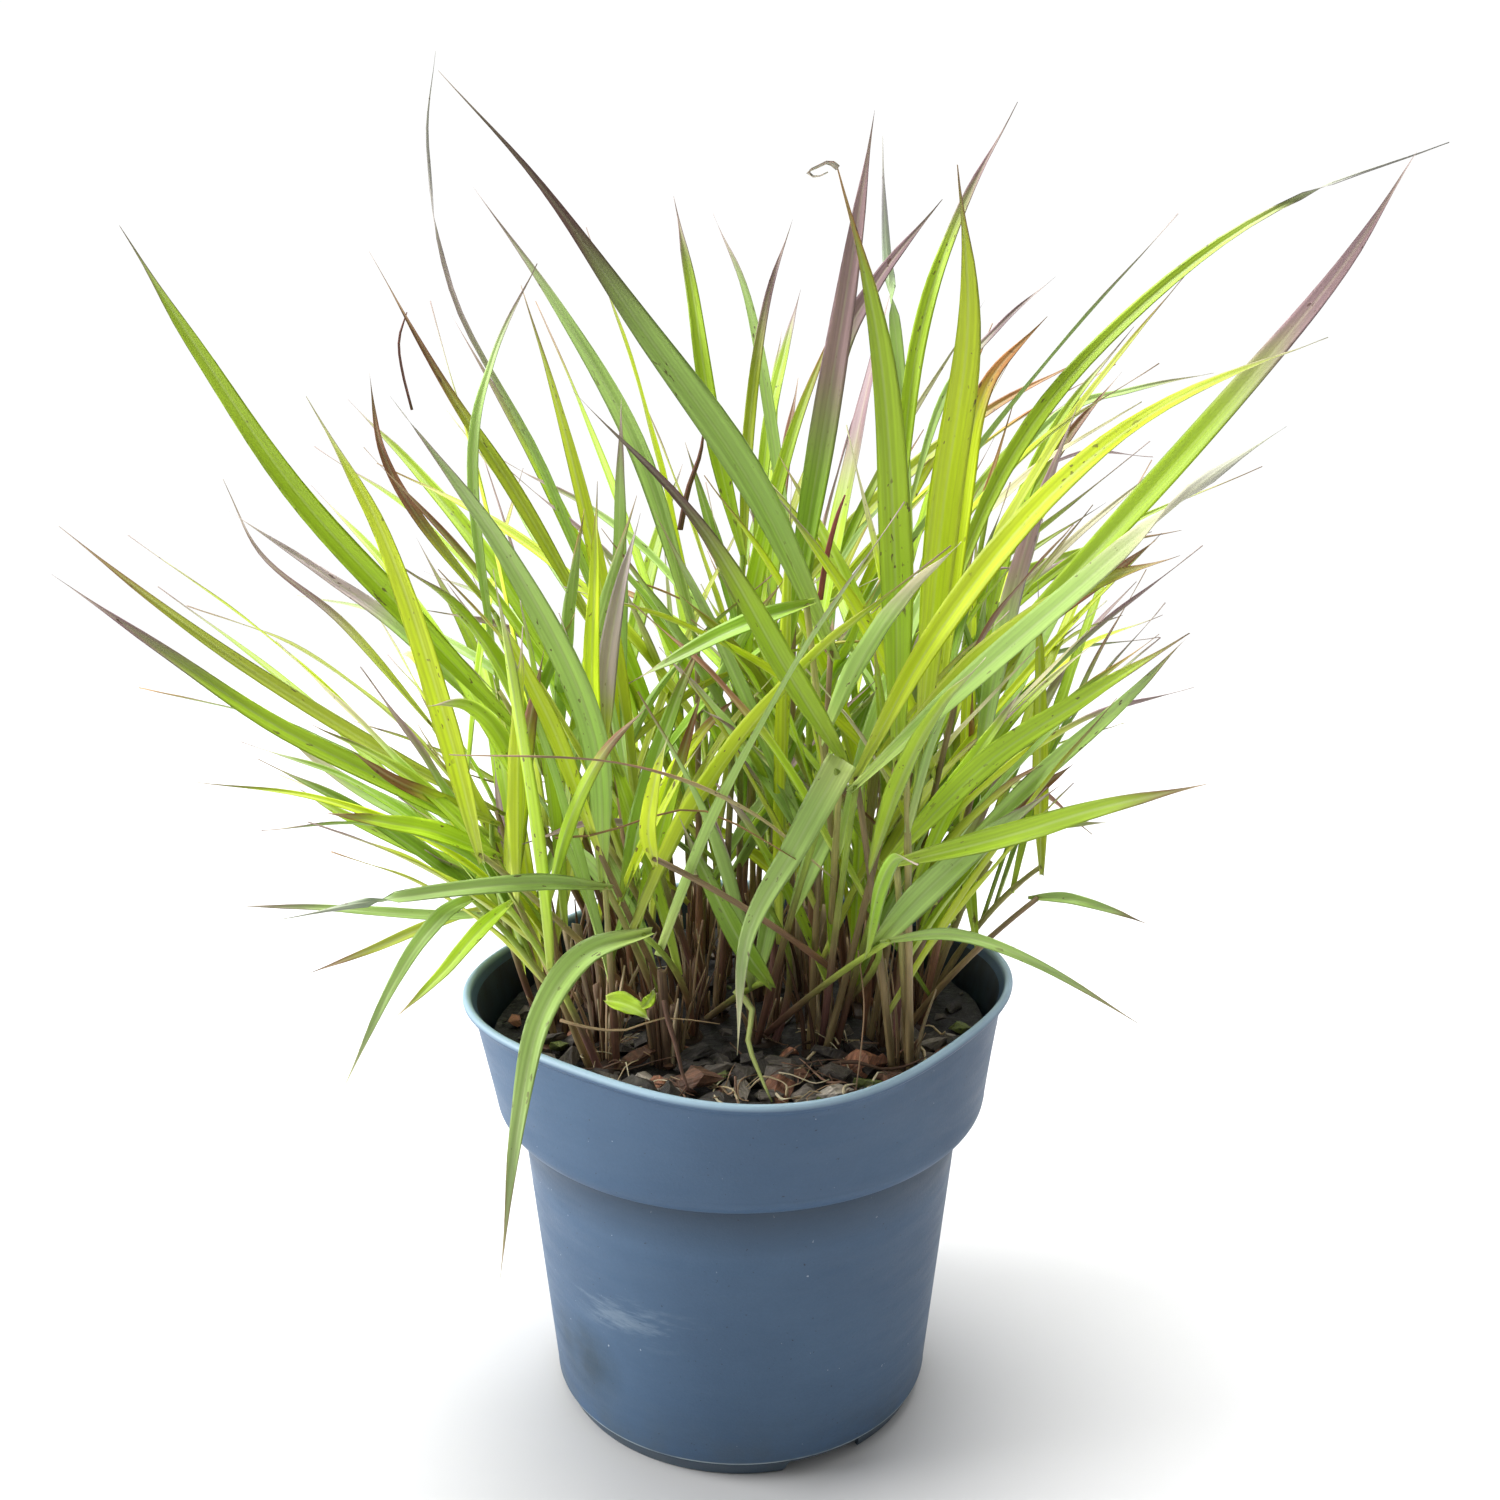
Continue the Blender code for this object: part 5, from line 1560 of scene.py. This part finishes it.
def dressMulch(places, barkFinish):
    # The lumpy ground with the solid's own chips, large ones in front, and small ones between.
    growth = Growth()
    noise.seed_set(chipLook["flakeSeed"])
    low, high = soil["top"] + gap, soil["top"] + mulch["thickness"]
    mulchGround(growth, low, high)
    spots, dice = chipPlaces(places)
    for spot, size in spots:
        middle = spot + raised(high + size * dice.uniform(0.02, 0.24))
        fineChip(growth, barkChip(dice, middle, size, low + 0.5 * mm), dice, 0.9 * mm)
    coverFront(growth, places, random.Random(chipLook["frontSeed"]), low, high)
    dice = random.Random(chipLook["smallSeed"])
    scatterSmall(growth, places, dice, high, chipLook["small"], (3.6, 7.5), smallChip)
    scatterSmall(growth, places, dice, high, chipLook["crumbs"], (1.0, 2.4), crumb)
    print("bark bed:", len(growth.faces), "faces")
    bed = growth.make("barkBed", [barkFinish], "bark_mulch", "bark_mulch")
    bed.data.set_sharp_from_angle(angle=math.radians(24))


# Scraps of dead leaf that lie on the bark.
straw = {
    "count": 58,
    "lengths": (10 * mm, 42 * mm),
    "widths": (0.6 * mm, 0.8 * mm, 1.0 * mm, 1.8 * mm),
    "tones": ((208, 188, 150), (172, 142, 112), (146, 114, 94), (224, 210, 176), (116, 90, 74)),
    "seed": 77,
}

# Dead threads that the picture shows, over the stems and the bark: the pixels they pass, their
# depth at both ends, their width and their colour.
seenThreads = [
    (
        [(555, 838), (600, 834), (640, 820), (680, 810), (715, 814), (760, 838), (800, 862)],
        -82, -96, 1.3, (150, 118, 76),
    ),
    ([(664, 1000), (668, 1020), (676, 1045), (682, 1072), (690, 1092)], -78, -92, 2.2, (112, 84, 70)),
    ([(858, 950), (864, 1000), (862, 1040), (856, 1090)], -70, -96, 1.4, (150, 122, 94)),
    ([(560, 1020), (590, 1028), (626, 1030), (664, 1018), (720, 1024)], -66, -78, 1.3, (164, 140, 104)),
    ([(735, 990), (752, 1010), (748, 1040), (758, 1070), (772, 1102)], -70, -98, 2.6, (168, 178, 104)),
    ([(680, 530), (688, 490), (700, 455), (704, 428)], 2, -8, 2.4, (112, 80, 66)),
    ([(820, 600), (826, 560), (836, 520), (845, 495)], -20, -30, 2.8, (158, 84, 88)),
    ([(412, 410), (402, 370), (399, 340), (407, 312)], 16, 20, 1.7, (124, 90, 84)),
    (
        [(838, 168), (829, 162), (817, 167), (808, 172), (816, 177), (828, 172)],
        -164, -166, 1.8, (214, 206, 186),
    ),
]

# Two fresh leaves that lie low over the bark at the front, in the same way.
freshLeaves = [
    ([(606, 1000), (622, 1003), (638, 1010), (650, 1020)], -70, -80, 9.0),
    ([(642, 1008), (648, 1002), (652, 996), (655, 988)], -78, -76, 5.0),
]


def keepInside(point):
    # Brings a scrap's point back inside the pot's wall.
    reach = math.hypot(point.x, point.y)
    limit = wallReach(math.atan2(point.y, point.x), soil["top"], 8 * mm)
    if reach <= limit:
        return point
    return Vector((point.x * limit / reach, point.y * limit / reach, point.z))


def scatterStraw(growth, dice):
    # Most scraps lie towards the front, and some are curled.
    high = soil["top"] + mulch["thickness"] + 2.5 * mm
    for _ in range(straw["count"]):
        turn, reach = dice.uniform(-2.6, -0.5), 0.35 + 0.6 * math.sqrt(dice.random())
        if dice.random() < 0.35:
            turn = dice.uniform(0, 2 * math.pi)
        radius = reach * (pot["rimRadius"] - 22 * mm)
        middle = Vector((radius * math.cos(turn), radius * math.sin(turn), high))
        lies, curl = dice.uniform(0, 2 * math.pi), dice.gauss(0, 0.75)
        length = dice.uniform(*straw["lengths"])
        points = []
        for i in range(5):
            share = i / 4 - 0.5
            lift = dice.uniform(0, 5) * mm + abs(share) * dice.uniform(0, 7) * mm
            points.append(keepInside(middle + heading(lies + curl * share) * share * length + raised(lift)))
        width = dice.choice(straw["widths"])
        dryStrip(growth, points, width, linear(*dice.choice(straw["tones"])), dice, 0)


def dressStraw(stalkFinish, bladeFinish):
    growth, dice = Growth(), random.Random(straw["seed"])
    scatterStraw(growth, dice)
    for pixels, near, far, width, tone in seenThreads:
        dryStrip(growth, seenLine(pixels, near, far), width * mm, linear(*tone), dice, 0)
    growth.make("dryScraps", [stalkFinish], "old_stems")
    growth = Growth()
    facing = Vector((0.2, -0.7, 0.7)).normalized()
    for pixels, near, far, width in freshLeaves:
        fineBlade(growth, seenLine(pixels, near, far), facing, width * mm, ("green", "pale", 0.97), dice)
    growth.make("freshLeaves", [bladeFinish, stalkFinish], "leaves")
    print("scraps:", straw["count"] + len(seenThreads), "dry,", len(freshLeaves), "fresh")


# The pot, finer than its solid: a rolled lip, rounded steps, drainage notches and holes.

finePot = {
    "sides": 224,
    "notchDepth": 1.6 * mm,
    "shoulder": 10.0 * mm,  # a sharper step than the solid's
}


def spaced(low, high, count):
    return [low + (high - low) * i / count for i in range(count + 1)]


def wallRun(heights, inset=0.0):
    return [(wallRadius(z, inset), z) for z in heights]


def shoulderRun(bandFoot):
    # The rounded step from the body out to the band.
    inside, outside = pot["bodyTopRadius"], pot["bandFootRadius"]
    crease = bandFoot - finePot["shoulder"]
    run = [(inside + 0.2 * mm, crease)]
    for i in range(1, 14):
        widening = math.sin(i / 14 * math.pi / 2) ** 0.7
        run.append((inside + (outside - inside) * widening, crease + finePot["shoulder"] * i / 14))
    return run + [(outside - 0.05 * mm, bandFoot - 0.3 * mm)]


def lipRun():
    # Round the rolled lip, over its top.
    middle = pot["rimRadius"] - pot["lip"] / 2 - 0.2 * mm
    run = []
    for i in range(13):
        turn = math.radians(-60 + 235 * i / 12)
        height = pot["height"] - 1.9 * mm + math.sin(turn) * 1.9 * mm
        run.append((middle + math.cos(turn) * pot["lip"] * 0.56, height))
    return run


def potProfile():
    # Radius and height all round the wall's section: up its outside, then down its inside.
    bandFoot, footTop = pot["height"] - pot["bandHeight"], pot["footHeight"]
    bodyTop, lipFoot = bandFoot - pot["shoulder"], pot["height"] - pot["lipDepth"]
    foot, body = pot["footRadius"], pot["bodyFootRadius"]
    outer = [(foot - 0.6 * mm, 0), (foot, 0.5 * mm)]
    outer += [(foot + 3.4 * mm * i / 4, (footTop - 1.2 * mm) * i / 4) for i in range(1, 5)]
    outer += [(body - 0.9 * mm, footTop - 0.9 * mm), (body - 0.1 * mm, footTop - 0.5 * mm)]
    outer += [(body + 0.2 * mm, footTop + 0.4 * mm)]
    outer += wallRun([footTop + 1.6 * mm] + spaced(footTop + 3 * mm, bodyTop, 26)[:-1])
    outer += shoulderRun(bandFoot)
    outer += wallRun([bandFoot + 0.6 * mm], -0.1 * mm)
    outer += wallRun(spaced(bandFoot + 2 * mm, lipFoot - 1 * mm, 12))
    inner = wallRun((lipFoot, bandFoot + 20 * mm, bandFoot + 2 * mm), pot["wall"])
    inner += wallRun(spaced(bandFoot, bodyTop, 8), pot["wall"] + 1.6 * mm)
    inner += wallRun([footTop + pot["floor"]], pot["wall"])
    return outer + lipRun() + inner


def meshObject(name, bm):
    bmesh.ops.recalc_face_normals(bm, faces=bm.faces)
    mesh = bpy.data.meshes.new(name)
    bm.to_mesh(mesh)
    bm.free()
    obj = bpy.data.objects.new(name, mesh)
    bpy.context.scene.collection.objects.link(obj)
    return obj


def ringObject(name, rings):
    return meshObject(name, closeRings(bmesh.new(), rings))


def notchTool(i):
    turn = pot["notchTurn"] + 2 * math.pi * i / pot["notches"]
    out, side = Vector((math.sin(turn), -math.cos(turn), 0)), heading(turn)
    half, top = pot["notchWidth"] / 2, pot["footHeight"] - finePot["notchDepth"]
    section = [(-half - 3 * mm, -5 * mm), (half + 3 * mm, -5 * mm), (half, top), (-half, top)]
    rings = [[out * far + side * across + raised(z) for across, z in section] for far in (60 * mm, 100 * mm)]
    return ringObject(f"notchTool{i}", rings)


def drainTool(i):
    # The last hole is the floor's middle one.
    ring = 0 if i == pot["drainHoles"] else pot["drainRing"]
    turn = 2 * math.pi * i / pot["drainHoles"]
    middle = Vector((ring * math.cos(turn), ring * math.sin(turn), 0))
    ends = (pot["footHeight"] - 4 * mm, pot["footHeight"] + pot["floor"] + 4 * mm)
    rings = [[middle + p for p in circle(pot["drainRadius"], 40, z)] for z in ends]
    return ringObject(f"drainTool{i}", rings)


def hollowTool():
    lower = circle(pot["footRadius"] - 2.2 * mm, 96, -5 * mm)
    return ringObject("footHollow", [lower, circle(pot["footRadius"] - 1.6 * mm, 96, pot["footHeight"])])


def cutPot(shell):
    # Takes the foot's hollow, its notches and the drainage holes out of the shell.
    tools = [hollowTool()]
    tools += [notchTool(i) for i in range(pot["notches"])]
    tools += [drainTool(i) for i in range(pot["drainHoles"] + 1)]
    for tool in tools:
        modifier = shell.modifiers.new(tool.name, "BOOLEAN")
        modifier.operation = "DIFFERENCE"
        modifier.object = tool
    graph = bpy.context.evaluated_depsgraph_get()
    graph.update()
    mesh = bpy.data.meshes.new_from_object(shell.evaluated_get(graph))
    shell.modifiers.clear()
    shell.data = mesh
    for tool in tools:
        bpy.data.objects.remove(tool)


def isInside(middle):
    # True on the pot's inside, which is stained and painted in shade, from its floor to just under its lip.
    edge = wallReach(math.atan2(middle.y, middle.x), middle.z, pot["wall"] * 0.6)
    inside = math.hypot(middle.x, middle.y) < edge and middle.z > pot["footHeight"] + 1 * mm
    return inside and middle.z < pot["height"] - 3 * mm


def dressPot(potFinish, shadedInsideFinish):
    rings = []
    for radius, height in potProfile():
        ring = circle(radius, finePot["sides"], height)
        rings.append([Vector((p.x * squareAt(p), p.y * squareAt(p), p.z)) for p in ring])
    shell = ringObject("nurseryPot", rings)
    cutPot(shell)
    mesh = shell.data
    mesh.materials.clear()
    mesh.materials.append(potFinish)
    mesh.materials.append(shadedInsideFinish)
    for face in mesh.polygons:
        face.material_index = int(isInside(face.center))
    mesh.shade_smooth()
    mesh.set_sharp_from_angle(angle=math.radians(50))
    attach(shell, "root")
    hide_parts("pot")
    print("pot:", len(mesh.polygons), "faces")


def dressSoil():
    # The soil keeps its own solid and only takes a finish.
    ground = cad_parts["potting_soil"]
    ground.data.materials.clear()
    ground.data.materials.append(soilMaterial())


studio = {
    "floor": (0.68, 0.68, 0.68),
    "floorSize": 1.3,
    "behind": 1.04,  # the light of the backdrop
    "front": 0.42,  # and of the darker room in front of the plant
    "right": 0.40,  # and to its right
    "lights": [
        {"name": "windowLeft", "at": (-1.9, -0.1, 0.9), "size": 1.2, "power": 44.0, "aim": (0, 0, 0.2)},
        {"name": "skylight", "at": (0.0, 0.5, 2.2), "size": 1.6, "power": 70.0, "aim": (0, 0, 0.35)},
    ],
}


def setFloor():
    floor = bmesh.new()
    bmesh.ops.create_grid(floor, x_segments=1, y_segments=1, size=studio["floorSize"])
    plane = meshObject("studioFloor", floor)
    n = newMaterial("pale floor")
    n.shader.inputs["Base Color"].default_value = (*studio["floor"], 1)
    n.shader.inputs["Roughness"].default_value = 0.9
    plane.data.materials.append(n.data)


def setDaylight():
    # White all round, and darker in front of the plant and to its right.
    n = Nodes(bpy.data.worlds.new("soft daylight"), "Background")
    axes = n.axes(n.add("TexCoord").outputs["Generated"])
    frontward = n.between(axes["Y"], -0.35, 0.25, studio["front"], studio["behind"])
    rightward = n.between(axes["X"], 0.45, 0.8, 1.0, studio["right"])
    n.shader.inputs["Color"].default_value = (1, 1, 1, 1)
    n.link(n.times(frontward, rightward), n.shader.inputs["Strength"])
    bpy.context.scene.world = n.data


def setLights():
    for light in studio["lights"]:
        data = bpy.data.lights.new(light["name"], "AREA")
        data.shape, data.size, data.energy = "DISK", light["size"], light["power"]
        lamp = bpy.data.objects.new(light["name"], data)
        lamp.location = light["at"]
        aim = Vector(light["aim"]) - lamp.location
        lamp.rotation_euler = aim.to_track_quat("-Z", "Y").to_euler()
        bpy.context.scene.collection.objects.link(lamp)


def setCamera():
    data = bpy.data.cameras.new("photoView")
    data.sensor_width, data.lens = 36.0, 36.0 * eye["focal"] / eye["size"]
    data.clip_start = 0.01
    camera = bpy.data.objects.new("photoView", data)
    camera.location = Vector((eye["x"], eye["y"], eye["z"])) * mm
    camera.rotation_euler = (math.radians(90 - eye["pitch"]), 0, 0)
    bpy.context.scene.collection.objects.link(camera)
    bpy.context.scene.camera = camera


def setStudio():
    bpy.context.scene.view_settings.view_transform = "Standard"
    setFloor()
    setDaylight()
    setLights()
    setCamera()
    print("studio set")


crowns = [(spot, i % crown["stubEvery"] == 2) for i, spot in enumerate(crownPlaces())]
bladeFinish = bladeMaterial()
stalkFinish = stalkMaterial("green and purple stem", 0.5, 0.5)
oldFinish = stalkMaterial("dry cut stem", 0.85, 0.8)
barkFinish = barkMaterial()
dressPot(potMaterial(), shadedInsideMaterial())
dressMulch(crowns, barkFinish)
dressPlant(crowns, bladeFinish, stalkFinish, oldFinish)
dressStraw(oldFinish, bladeFinish)
dressSoil()
setStudio()

bpy.context.view_layer.update()
